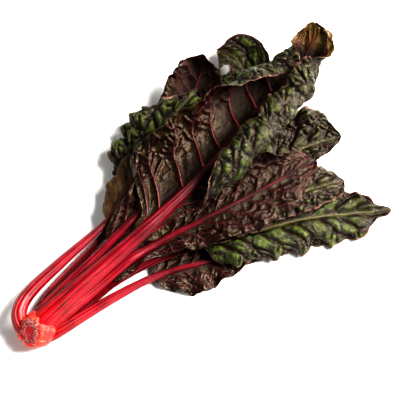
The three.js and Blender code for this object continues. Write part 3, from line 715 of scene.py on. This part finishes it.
def stalk_material():
    """Chard stalk: crisp watery stem under a waxy cuticle, grown in lengthwise ridges.
    Gives the eye saturated crimson with long pink gleams, orange near the root, darker towards the leaf
    partly by painted shade, and painted shade in the grooves."""
    material, tree, field = new_material("waxy_crimson_chard_stalk", ("along", "ridge", "flat"))
    # strands 0.4 mm apart in the real stalk, drawn about 1 mm apart so that they show
    stretched = add(tree, "Mapping", {}, {"Vector": field["flat"], "Scale": (1.2, 42.0, 1.0)})
    strands = add(tree, "TexNoise", {}, {
        "Vector": stretched, "Scale": 2.4, "Detail": 4.0, "Roughness": 0.6,
    })
    # patches of thicker wax 33 mm wide
    patches = add(tree, "TexNoise", {}, {"Vector": field["flat"], "Scale": 3.0, "Detail": 2.0})
    share = add(tree, "Math", TIMES, {0: field["along"], 1: 0.25})
    # orange-red at the root and darker along the stalk: partly the stalk's own colour, partly painted
    # shade where the midrib runs into the shaded trough
    body = add(tree, "ValToRGB", {"stops": [
        (0.0, "#b4120c"), (0.07, "#a80710"), (0.16, "#8a0217"), (0.45, "#5e0212"), (0.7, "#3a020a"),
        (1.0, "#200307"),
    ]}, {"Fac": share})
    pink_share = add(tree, "ValToRGB", {"stops": [
        (0.48, "#000000"), (0.75, "#c0c0c0"),
    ]}, {"Fac": strands})
    light = add(tree, "Mix", MIX, {0: pink_share, 6: body, 7: colour("#bc1640")})
    # painted shade: darker in the grooves between the ridges, and less dark over the whole channel side
    painted_groove_shade = add(tree, "ValToRGB", {"stops": [
        (0.15, "#4a222a"), (0.62, "#ffffff"),
    ]}, {"Fac": field["ridge"]})
    shade = add(tree, "ValToRGB", {"stops": [
        (0.3, "#a8888e"), (0.65, "#ffffff"),
    ]}, {"Fac": patches})
    grooved = add(tree, "Mix", TINT, {0: 1.0, 6: light, 7: painted_groove_shade})
    base = add(tree, "Mix", TINT, {0: 1.0, 6: grooved, 7: shade})
    bump = add(tree, "Bump", {}, {"Strength": 0.5, "Distance": 0.0007, "Height": strands})
    waxy = add(tree, "MapRange", {}, {"Value": patches, "To Min": 0.26, "To Max": 0.42})
    rough = add(tree, "MapRange", {}, {
        "Value": field["along"], "From Min": 2.2, "From Max": 3.6, "To Min": waxy, "To Max": 0.8,
    })
    shader = add(tree, "BsdfPrincipled", {}, {
        "Base Color": base,
        "Roughness": rough,
        "Normal": bump,
        "IOR": 1.42,
        "Specular IOR Level": 0.4,
    })
    add(tree, "OutputMaterial", {}, {"Surface": shader})
    return material


def mottled_tissue(tree, field, patch_scale, speck_scale, fresh, red):
    """Speckled leaf tissue that goes from fresh colours to red ones in patches. The scales say
    how many patches or specks there are to 100 mm."""
    patches = add(tree, "TexNoise", {}, {
        "Vector": field["flat"], "Scale": patch_scale, "Detail": 4.0, "Roughness": 0.6,
    })
    patch = add(tree, "Math", LESS, {0: patches, 1: 0.5})
    share = add(tree, "Math", {"operation": "ADD", "use_clamp": True}, {0: field["bronze"], 1: patch})
    specks = add(tree, "TexNoise", {}, {"Vector": field["flat"], "Scale": speck_scale, "Detail": 3.0})
    fresh_tissue = add(tree, "ValToRGB", {"stops": fresh}, {"Fac": specks})
    red_tissue = add(tree, "ValToRGB", {"stops": red}, {"Fac": specks})
    return add(tree, "Mix", MIX, {0: share, 6: fresh_tissue, 7: red_tissue})


def upper_skin_material():
    """Upper skin of a chard leaf: a waxy cuticle over green tissue that red sap turns bronze.
    Gives the eye green puffs with a soft gleam, bronze among them, painted shade in the creases between
    them, a painted grey sheen on some puff tops and a maroon net of veins."""
    material, tree, field = new_material(
        "waxy_green_bronze_leaf_skin", ("bronze", "pale", "cell", "vein", "margin", "rib", "flat")
    )
    green = [(0.3, "#151b03"), (0.5, "#283208"), (0.72, "#4a5716")]
    bronze = [(0.3, "#0f0906"), (0.55, "#1f150e"), (0.75, "#38291b")]
    # patches 31 mm wide and specks 4 mm wide
    dull = mottled_tissue(tree, field, 3.2, 26.0, green, bronze)
    # painted grey sheen on the tops of the puffs
    pale = add(tree, "Math", TIMES, {0: field["pale"], 1: field["cell"]})
    body = add(tree, "Mix", MIX, {0: pale, 6: dull, 7: colour("#6c5850")})
    # painted shade: the creases between the puffs darkened nearly to black
    sunk = add(tree, "ValToRGB", {"stops": [
        (0.1, "#0a0706"), (0.5, "#6c625a"), (0.85, "#ffffff"),
    ]}, {"Fac": field["cell"]})
    shaded = add(tree, "Mix", TINT, {0: 1.0, 6: body, 7: sunk})
    veined = add(tree, "Mix", MIX, {0: field["vein"], 6: shaded, 7: colour("#200709")})
    ribbed = add(tree, "Mix", MIX, {0: field["rib"], 6: veined, 7: colour("#4a4428")})
    # the reddish margin line is the leaf's own colour; its pinkish-tan outer edge is a painted highlight
    edge = add(tree, "ValToRGB", {"stops": [
        (0.6, "#240d0a"), (0.97, "#5c3e34"),
    ]}, {"Fac": field["margin"]})
    base = add(tree, "Mix", MIX, {0: field["margin"], 6: ribbed, 7: edge})
    # the net's meshes are 1.5 mm wide in the real leaf, drawn 3 mm wide so that they show
    meshes = add(tree, "TexVoronoi", TO_EDGE, {"Vector": field["flat"], "Scale": 33.0})
    net = add(tree, "MapRange", {}, {"Value": meshes, "From Max": 0.16})
    # fine crinkles 4.5 mm wide
    crinkle = add(tree, "TexNoise", {}, {
        "Vector": field["flat"], "Scale": 22.0, "Detail": 5.0, "Roughness": 0.65,
    })
    height = add(tree, "Math", TIMES_PLUS, {0: crinkle, 1: 2.0, 2: net})
    bump = add(tree, "Bump", {}, {"Strength": 0.55, "Distance": 0.0009, "Height": height})
    rough = add(tree, "MapRange", {}, {"Value": crinkle, "To Min": 0.31, "To Max": 0.54})
    shader = add(tree, "BsdfPrincipled", {}, {
        "Base Color": base,
        "Roughness": rough,
        "Normal": bump,
        "IOR": 1.45,
        "Specular IOR Level": 0.5,
        "Specular Tint": colour("#efe4d2"),
    })
    add(tree, "OutputMaterial", {}, {"Surface": shader})
    return material


def lower_skin_material():
    """Lower skin of a chard leaf: thin, glossy and full of red sap, with olive tissue between veins.
    Gives the eye dark burgundy and olive-gold panels with sharp small gleams; shade is painted into the
    creases, the outer trough and along the midrib, and light onto thin places and the tip."""
    material, tree, field = new_material(
        "glossy_burgundy_olive_leaf_skin", ("bronze", "rim", "dusk", "vein", "glow", "cell", "flat")
    )
    olive = [(0.3, "#141003"), (0.5, "#251c07"), (0.72, "#40310f")]
    burgundy = [(0.3, "#0c0302"), (0.55, "#170806"), (0.75, "#27110c")]
    # patches 28 mm wide and specks 6 mm wide
    panels = mottled_tissue(tree, field, 3.6, 16.0, olive, burgundy)
    # meshes 6 mm wide, of which some near the margin are painted yellow-green, as light shining through
    # thin tissue
    cells = add(tree, "TexVoronoi", {}, {"Vector": field["flat"], "Scale": 17.0})
    pick = add(tree, "SeparateColor", {}, {"Color": cells.outputs["Color"]})
    chosen = add(tree, "ValToRGB", {"stops": [(0.7, "#000000"), (0.74, "#585858")]}, {"Fac": pick})
    thin = add(tree, "Math", TIMES, {0: chosen, 1: field["rim"]})
    lit = add(tree, "Mix", MIX, {0: thin, 6: panels, 7: colour("#585410")})
    # painted shade: the creases round the sunk panels darkened nearly to black
    creases = add(tree, "ValToRGB", {"stops": [
        (0.05, "#0a0504"), (0.5, "#5c4c44"), (0.85, "#ffffff"),
    ]}, {"Fac": field["cell"]})
    creased = add(tree, "Mix", TINT, {0: 1.0, 6: lit, 7: creases})
    # painted light: tan on the tip past the shaded trough and on blades thin enough to let light through
    glowing = add(tree, "Mix", MIX, {0: field["glow"], 6: creased, 7: colour("#5e4c26")})
    # painted shade: the outer trough and the middle along the midrib darkened nearly to black
    body = add(tree, "Mix", MIX, {0: field["dusk"], 6: glowing, 7: colour("#060202")})
    vein_share = add(tree, "Math", TIMES, {0: field["vein"], 1: 0.5})
    veined = add(tree, "Mix", MIX, {0: vein_share, 6: body, 7: colour("#3c0810")})
    # the same net shows dark red on this side, drawn 3.4 mm wide
    meshes = add(tree, "TexVoronoi", TO_EDGE, {"Vector": field["flat"], "Scale": 29.0})
    net = add(tree, "MapRange", {}, {"Value": meshes, "From Max": 0.16})
    on_net = add(tree, "Math", TIMES_PLUS, {0: net, 1: -0.25, 2: 0.25})
    base = add(tree, "Mix", MIX, {0: on_net, 6: veined, 7: colour("#300a0c")})
    # fine crinkles 5 mm wide
    crinkle = add(tree, "TexNoise", {}, {
        "Vector": field["flat"], "Scale": 20.0, "Detail": 4.0, "Roughness": 0.55,
    })
    coarse = add(tree, "Math", TIMES, {0: crinkle, 1: 1.8})
    relief = add(tree, "Math", TIMES_PLUS, {0: net, 1: -0.6, 2: coarse})
    bump = add(tree, "Bump", {}, {"Strength": 0.5, "Distance": 0.0009, "Height": relief})
    glossy = add(tree, "MapRange", {}, {"Value": crinkle, "To Min": 0.27, "To Max": 0.46})
    rough = add(tree, "MapRange", {}, {"Value": field["dusk"], "To Min": glossy, "To Max": 0.75})
    shader = add(tree, "BsdfPrincipled", {}, {
        "Base Color": base,
        "Roughness": rough,
        "Normal": bump,
        "IOR": 1.46,
        "Specular IOR Level": 0.36,
        "Specular Tint": colour("#eeddc6"),
    })
    add(tree, "OutputMaterial", {}, {"Surface": shader})
    return material


def vein_skin_material():
    """Side veins: red strands of the stalk's own tissue under a thin smooth skin.
    Gives the eye fine crimson lines that darken towards the margin."""
    material, tree, field = new_material("smooth_red_leaf_vein", ("along", "red"))
    place = add(tree, "TexCoord", {}, {}).outputs["Object"]
    # mottling 5.5 mm wide
    mottle = add(tree, "TexNoise", {}, {"Vector": place, "Scale": 180.0, "Detail": 3.0})
    body = add(tree, "ValToRGB", {"stops": [
        (0.25, "#8c061a"), (0.5, "#640818"), (0.7, "#2c0c08"), (1.0, "#1c0a06"),
    ]}, {"Fac": field["along"]})
    share = add(tree, "Math", TIMES, {0: mottle, 1: 0.5})
    mottled = add(tree, "Mix", MIX, {0: share, 6: body, 7: colour("#480b16")})
    base = add(tree, "Mix", MIX, {0: field["red"], 6: colour("#1e0907"), 7: mottled})
    bump = add(tree, "Bump", {}, {"Strength": 0.3, "Distance": 0.0004, "Height": mottle})
    shader = add(tree, "BsdfPrincipled", {}, {
        "Base Color": base,
        "Roughness": 0.36,
        "Normal": bump,
        "IOR": 1.45,
    })
    add(tree, "OutputMaterial", {}, {"Surface": shader})
    return material


stalk_skin = stalk_material()
upper_skin = upper_skin_material()
lower_skin = lower_skin_material()
vein_skin = vein_skin_material()

USUAL_LEAF = {
    "puff": 6.5,  # height of the puffs between side veins
    "cell": 16,  # width of the small puffs inside each panel
    "split": 0.5, "crowd": 0.8,  # how deep these small puffs are cut, near the midrib and further out
    "fold": 0.7, "fine": 8, "lean": 0.5,  # height and width of the creases, and how far they lean
    "frill": 1.6,  # height of the margin's small waves
    "veins": 9, "forks": 4,  # side veins in a half blade, and forks on each side of a vein
    "vein": 0.7, "red": 0.6,  # radius and redness of the raised veins
    "bare": 0.93,  # share of the length past which no raised vein starts
    "bronze": 0.5, "turn": 0,  # share of red tissue at the root, and how much it gains by the tip
    "pale": 0,  # painted grey sheen on the puffs near the tip
    "thin": 0,  # how far light through the blade turns it tan
    "core": 0.3,  # how dark the painted shade along the midrib is
    "dusk": 0, "dawn": 0.88,  # how dark the painted shade in the outer trough is, and the share at which that ends
}


def grow_leaf(name, slot, **sizes):
    """One leaf: its stalk, blade and side veins, laid on the leaves below it."""
    leaf = {**USUAL_LEAF, "name": name, "under": 1 if slot == "leaf_under" else -1, **sizes}
    blade, fields = blade_grid(leaf)
    stalk, stalk_fields = stalk_grid(leaf)
    blade, stalk = lay(blade, stalk)
    normal = grid_normals(blade)
    flat = fields["flat"] * 100
    fields["bronze"] = leaf["bronze"] + leaf["turn"] * fields["share"]
    fields["bronze"] += 0.35 * hills(flat[..., 0], flat[..., 1], 34, leaf["seed"] + 11)
    past_dawn = smoothstep(fields["share"], leaf["dawn"], leaf["dawn"] + 0.06)
    # painted shade in the outer trough, and along the midrib
    dusk = leaf["dusk"] * smoothstep(fields["share"], 0.4, 0.62) * (1 - past_dawn)
    core = leaf["core"] * fields["near"] * (1 - past_dawn)
    fields["dusk"] = np.maximum(dusk * (1 - fields["rim"]), core)
    # painted light, on the tip past the trough and through thin blades
    fields["glow"] = np.maximum(0.8 * leaf["dusk"] * past_dawn, leaf["thin"])
    # painted grey sheen, on the puffs near the tip
    fields["pale"] = leaf["pale"] * smoothstep(fields["share"], 0.45, 0.75)
    rings, sides = stalk.shape[:2]
    stalk_fields = {k: v.reshape(rings * sides, -1).squeeze() for k, v in stalk_fields.items()}
    round_faces = tube_faces(rings, sides)
    stem = mesh_piece("stalk_fine_" + name, stalk.reshape(-1, 3), round_faces, stalk_fields, [stalk_skin])
    sheet = blade_piece(leaf, blade, fields, normal)
    veins = vein_piece(leaf, blade, normal)
    for piece, its_slot in ((stem, "stalk"), (sheet, slot), (veins, "stalk")):
        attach(piece, "root")
    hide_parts("stalk_" + name)
    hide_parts("leaf_" + name)


grow_leaf(
    "back", "leaf_upper", seed=11, stalk=6, rib=440, blade=235, waves=5, wave=5, bronze=0.15,
    route=[
        (2, 3, 12), (60, 14, 11), (150, 34, 10), (250, 60, 7), (340, 82, 6),
        (405, 96, 12), (438, 112, 20), (449, 142, 22), (440, 170, 16),
    ],
    left=[
        (0.1, 40, 0, 0, 5, 0), (0.5, 50, 0, 10, 15, 10), (0.72, 34, 0, 20, 30, 0),
        (0.84, 19, 0, 20, 30, 0), (0.93, 29, 0, 20, 10, -20), (1, 5, 10, 30, 20, 0),
    ],
    right=[
        (0.1, 40, 0, 0, 0, 0), (0.5, 52, 5, 5, 15, 25),
        (0.8, 44, 0, 20, 40, 40), (0.92, 34, 0, 20, 40, 40), (1, 4, 0, 20, 40, 40),
    ],
)

# The right tip leaf
# Low in the pile, so that only its far end shows: a crisp bronze blade with a rolled lobe and a
# dark red edge. Its stalk leaves the crown under the others, and their weight holds it down.
grow_leaf(
    "right_tip", "leaf_upper", seed=23, stalk=6, rib=400, blade=250, waves=5, wave=4, bronze=0.7, puff=9,
    route=[
        (4, -1, 12), (60, -2, 11), (150, -4, 10), (250, -8, 8), (350, -12, 9), (430, -22, 14),
        (480, -42, 16),
    ],
    left=[
        (0.15, 40, 0, 0, 0, 0), (0.6, 50, 0, 5, 20, 20), (0.85, 48, 0, 30, 50, -20),
        (0.94, 38, 0, 20, 40, -20), (1, 6, 0, 10, 20, 0),
    ],
    right=[
        (0.15, 36, 0, 0, 0, 0), (0.7, 32, 0, 0, 5, 5),
        (0.9, 18, 0, 10, 20, -10), (1, 5, 0, 10, 10, 0),
    ],
)

# The front leaf
# The nearest one, small and thin, with its burgundy lower face up. Its round red stalk grows from
# the crown's near side, and its far half lies on the surface.
# The middle along its midrib is painted darker with shade.
grow_leaf(
    "front", "leaf_under", seed=37, stalk=6.8, rib=330, blade=168, waves=5, wave=5, bronze=0.75, core=0.6,
    puff=4, split=0.6, fold=1.4, fine=6, lean=1.2, vein=0.4, red=0.2,
    route=[
        (-4, -5, 12), (10, -15, 17), (58, -20, 14), (102, -25, 12), (145, -32, 10),
        (180, -42, 7), (212, -56, 5), (250, -74, 4), (296, -92, 3),
    ],
    left=[(0.2, 28, 5, 5, 5, 5), (0.6, 34, 0, 0, 5, 5), (1, 9, 0, 0, 0, 0)],
    right=[
        (0.15, 24, 0, -5, -5, 5), (0.33, 36, 0, -4, 0, 10),
        (0.7, 22, 0, 0, 5, 5), (1, 9, 0, 0, 0, 0),
    ],
)

# The front right leaf
# Long, crisp and folded along its near side, with green panels between sunk veins and a curled tip.
# Its stalk grows low on the crown and is hidden by the ones above.
grow_leaf(
    "front_right", "leaf_upper", seed=41, stalk=6.2, rib=400, blade=235, waves=6, wave=4,
    bronze=-0.1, turn=0.6, puff=8, cell=22, split=0.1, crowd=0.35, forks=2, fold=1, fine=6, lean=1.4,
    route=[
        (4, -4, 17), (60, -6, 15), (120, -11, 14), (170, -20, 17), (220, -38, 18),
        (290, -70, 16), (360, -100, 14), (420, -136, 8), (460, -162, 8),
    ],
    left=[
        (0.1, 36, 5, 5, 5, 5), (0.6, 36, 5, 10, 10, 0),
        (0.82, 28, 10, 20, 20, 0), (0.94, 10, 20, 10, 0, -10), (1, 8, 20, 10, 0, -10),
    ],
    right=[
        (0.08, 34, 30, 0, -40, -70), (0.4, 44, 20, 5, -30, -75),
        (0.66, 40, 10, 0, -30, -70), (0.85, 28, 0, 0, -20, -40), (0.93, 10, 0, 0, -20, -40),
        (1, 8, 0, 0, 0, 0),
    ],
)

# The low right leaf
# A thin blade that shows only its far end, a green lobe with a painted grey sheen, folded like a roof over
# its midrib.
# It grows on the crown's lower side and is caught between two other leaves.
grow_leaf(
    "right_low", "leaf_upper", seed=53, stalk=5, rib=390, blade=230, waves=4, wave=3, bronze=0.4,
    pale=0.16, puff=9,
    route=[
        (2, -6, 12), (60, -8, 11), (150, -16, 9), (250, -34, 12), (330, -58, 18), (388, -78, 24),
        (434, -96, 21),
    ],
    left=[
        (0.15, 30, 0, 0, 0, 0), (0.6, 34, 10, 15, 5, 0), (0.85, 27, 25, 30, 0, -30),
        (0.95, 20, 15, 15, 0, -20), (1, 7, 10, 0, -10, -20),
    ],
    right=[
        (0.15, 26, 0, 0, 0, 0), (0.6, 26, 5, 5, 0, 0), (0.85, 26, 25, 10, -20, -50),
        (0.95, 19, 15, 0, -10, -30), (1, 7, 10, 0, -10, -20),
    ],
)

# The hood leaf
# A stiff young blade that stands up like a hood at the far left, with painted shade inside and a thin rim.
# Its stalk runs hidden inside the bunch, from the crown to the midrib.
grow_leaf(
    "hood", "leaf_under", seed=67, stalk=5.5, rib=380, blade=265, waves=4, wave=2.5, bronze=-0.4,
    puff=4, vein=0.35, red=0, dusk=0.97, dawn=2,
    route=[
        (2, 4, 20), (60, 11, 19), (150, 36, 16), (250, 76, 14), (330, 118, 16),
        (376, 140, 22), (396, 150, 40), (403, 154, 58),
    ],
    left=[
        (0.15, 26, 0, 5, 5, 5), (0.6, 38, 0, 20, 30, 30),
        (0.85, 38, 0, 20, 50, 60), (1, 8, 0, 0, 10, 10),
    ],
    right=[
        (0.15, 30, 0, 5, 5, 5), (0.6, 40, 0, 20, 30, 30),
        (0.85, 38, 0, 20, 50, 60), (1, 8, 0, 0, 10, 10),
    ],
)

# The back left leaf
# A thick crisp blade with bright green puffs, whose left margin turns down to the surface.
# It grows on the crown's left side, under the stalks that show.
grow_leaf(
    "back_left", "leaf_upper", seed=71, stalk=6, rib=330, blade=200, waves=4, wave=3, bronze=-0.1,
    puff=12, cell=22, split=0.8, crowd=0.95, veins=7, forks=3,
    route=[
        (0, 9, 13), (32, 29, 11), (72, 39, 11), (112, 46, 11), (152, 54, 12.5), (190, 68, 15),
        (230, 92, 18), (280, 110, 22), (330, 124, 26), (372, 132, 26),
    ],
    left=[
        (0.12, 18, 0, 20, 0, -50), (0.35, 46, 0, 25, -10, -70),
        (0.65, 46, 0, 20, -10, -60), (0.78, 24, 0, 20, 0, -50), (1, 6, 0, 0, 0, 0),
    ],
    right=[
        (0.12, 30, 0, 0, 0, 0), (0.5, 50, 0, 10, 15, 10),
        (0.8, 44, 0, 10, 15, 10), (1, 6, 0, 0, 0, 0),
    ],
)

# The right leaf
# A thin glossy blade, burgundy side up, finely crumpled, with a rolled lobe at its end. Its thick
# crimson stalk grows next to the top leaf's and runs on as a red midrib.
# Its far half, all but the margins, is darkened a little with painted shade.
grow_leaf(
    "right", "leaf_under", seed=83, stalk=7.8, rib=340, blade=118, waves=6, wave=5, bronze=0.9,
    cell=12, split=0.6, fold=1.7, fine=6, lean=1.6, puff=4, vein=0.35, red=0.15, veins=10,
    dusk=0.35, dawn=2,
    route=[
        (-4, -1, 16), (12, -5, 23), (60, -4, 22), (114, -2, 22), (163, -4, 24), (206, -11, 26),
        (255, -23, 28), (302, -35, 31), (366, -47, 33), (420, -54, 30),
    ],
    left=[
        (0.15, 14, 10, 10, 10, 10), (0.4, 34, 0, 10, 20, 20),
        (0.65, 48, 5, 20, 30, 20), (0.85, 48, 5, 30, 80, 120), (1, 8, 10, 20, 30, 30),
    ],
    right=[
        (0.2, 12, 0, 0, 0, 0), (0.4, 30, 0, 0, 0, 10),
        (0.65, 44, 0, 0, 0, -20), (0.85, 38, 0, 0, -20, -50), (1, 6, 0, 0, -10, -20),
    ],
)

# The left leaf
# Its crimson stalk bows out to the left of the crown, from which it grows. The blade is short and
# thin, so that light comes through, and hangs down beside the pile.
# The light through its blade is painted on as tan.
grow_leaf(
    "left", "leaf_under", seed=97, stalk=8.2, rib=300, blade=200, waves=4, wave=3.5, bronze=0.35,
    puff=3, vein=0.4, red=0.35, core=0, thin=0.5,
    route=[
        (-8, 5, 13), (-12, 18, 19), (-4, 34, 22), (20, 46, 21), (76, 54, 20),
        (163, 61, 23), (205, 74, 24), (245, 92, 23), (300, 108, 21),
    ],
    left=[
        (0.25, 28, 10, -5, -20, -25), (0.5, 27, 10, 0, -15, -20),
        (0.7, 18, 0, 0, 0, 0), (1, 6, 0, 0, 0, 0),
    ],
    right=[(0.2, 24, 10, 15, 10, 0), (0.5, 36, 5, 10, 10, 0), (1, 6, 0, 0, 0, 0)],
)

# The inner left leaf
# A thin blade under the top leaf, which shows as olive-brown strips beside that leaf's stalk.
# Its own waxy stalk grows from the crown just left of it.
grow_leaf(
    "inner_left", "leaf_under", seed=101, stalk=6.8, rib=360, blade=150, waves=5, wave=4, bronze=0.3,
    puff=5, vein=0.5,
    route=[
        (-6, 6, 18), (12, 14, 22), (60, 23, 21), (114, 29, 22), (170, 35, 28), (217, 40, 33),
        (278, 55, 33), (340, 78, 32), (385, 98, 30),
    ],
    left=[(0.15, 22, 20, 35, 35, 20), (0.5, 36, 5, 10, 10, 10), (1, 6, 0, 0, 0, 0)],
    right=[(0.15, 16, 0, 0, 5, 5), (0.5, 36, 0, 5, 5, 5), (1, 6, 0, 0, 0, 0)],
)

# The top leaf
# The largest blade, with its lower face up, on the widest stalk, which grows from the crown's
# middle. Both margins roll in over a deep trough and show the puffed green upper face, and its end
# stands up like a spoon.
# The outer trough and the middle along its midrib are painted with shade, and the spoon past the trough is
# painted lighter.
grow_leaf(
    "top", "leaf_under", seed=113, stalk=10.6, rib=480, blade=180, waves=7, wave=4, bronze=0.25,
    puff=6.5, frill=1.2, cell=15, split=0.25, crowd=0.6, fold=0.8, fine=8, lean=1.2, veins=10, forks=3,
    vein=0.8, red=0.9, dusk=0.97, core=0.9, turn=0.4, bare=0.84,
    route=[
        (-4, 0, 20), (10, 2, 30), (60, 6, 33), (122, 9, 36), (200, 12, 42), (300, 22, 46), (400, 46, 50),
        (460, 56, 55), (500, 62, 66), (522, 70, 82), (533, 80, 101),
    ],
    left=[
        (0.06, 12, 10, 20, 20, 20), (0.11, 44, 5, 10, 10, 0),
        (0.17, 80, 0, 5, 0, -10), (0.32, 84, 0, 15, 40, 50), (0.5, 80, 5, 30, 70, 100),
        (0.68, 84, 5, 25, 125, 190), (0.84, 60, 10, 50, 150, 210), (0.93, 25, 10, 20, 30, 40),
        (1, 10, 0, 0, 10, 20),
    ],
    right=[
        (0.1, 14, 0, 5, 10, 20), (0.2, 26, 0, 10, 40, 70), (0.27, 58, 0, 22, 102, 160),
        (0.34, 82, 0, 24, 126, 204), (0.45, 90, 0, 24, 130, 208), (0.6, 94, 0, 24, 130, 208),
        (0.78, 88, 5, 22, 122, 205), (0.88, 60, 10, 45, 105, 130), (0.94, 34, 10, 25, 50, 60),
        (1, 14, 0, 0, 10, 20),
    ],
)

# The surface and the light
# A plain white table of matt paper, one large soft lamp from the right, and a weak one from the
# left that keeps the shaded side readable.
floor_mesh = bpy.data.meshes.new("floor")
floor_mesh.from_pydata([(-4, -4, 0), (4, -4, 0), (4, 4, 0), (-4, 4, 0)], [], [(0, 1, 2, 3)])
floor = bpy.data.objects.new("floor", floor_mesh)
scene.collection.objects.link(floor)
paper, tree, _ = new_material("matt_white_paper", ())
shader = add(tree, "BsdfPrincipled", {}, {"Base Color": colour("#f4f4f4"), "Roughness": 0.8})
add(tree, "OutputMaterial", {}, {"Surface": shader})
floor_mesh.materials.append(paper)


def soft_lamp(name, azimuth, elevation, distance, size, power):
    a, e = math.radians(azimuth), math.radians(elevation)
    lamp = bpy.data.objects.new(name, bpy.data.lights.new(name, "AREA"))
    lamp.data.size = size
    lamp.data.energy = power
    lamp.data.color = (1, 0.97, 0.92)
    towards = Vector((math.sin(a) * math.cos(e), -math.cos(a) * math.cos(e), math.sin(e)))
    lamp.location = Vector((0.25, 0, 0)) + towards * distance
    lamp.rotation_euler = (-towards).to_track_quat("-Z", "Y").to_euler()
    scene.collection.objects.link(lamp)


soft_lamp("key", azimuth=60, elevation=44, distance=1.6, size=0.95, power=124)
soft_lamp("fill", azimuth=-120, elevation=40, distance=2.0, size=1.2, power=8)
world = bpy.data.worlds.new("studio")
world.use_nodes = True
world.node_tree.nodes["Background"].inputs["Color"].default_value = (1, 1, 1, 1)
world.node_tree.nodes["Background"].inputs["Strength"].default_value = 0.17
scene.world = world
scene.view_settings.view_transform = "Standard"
scene.view_settings.look = "High Contrast"
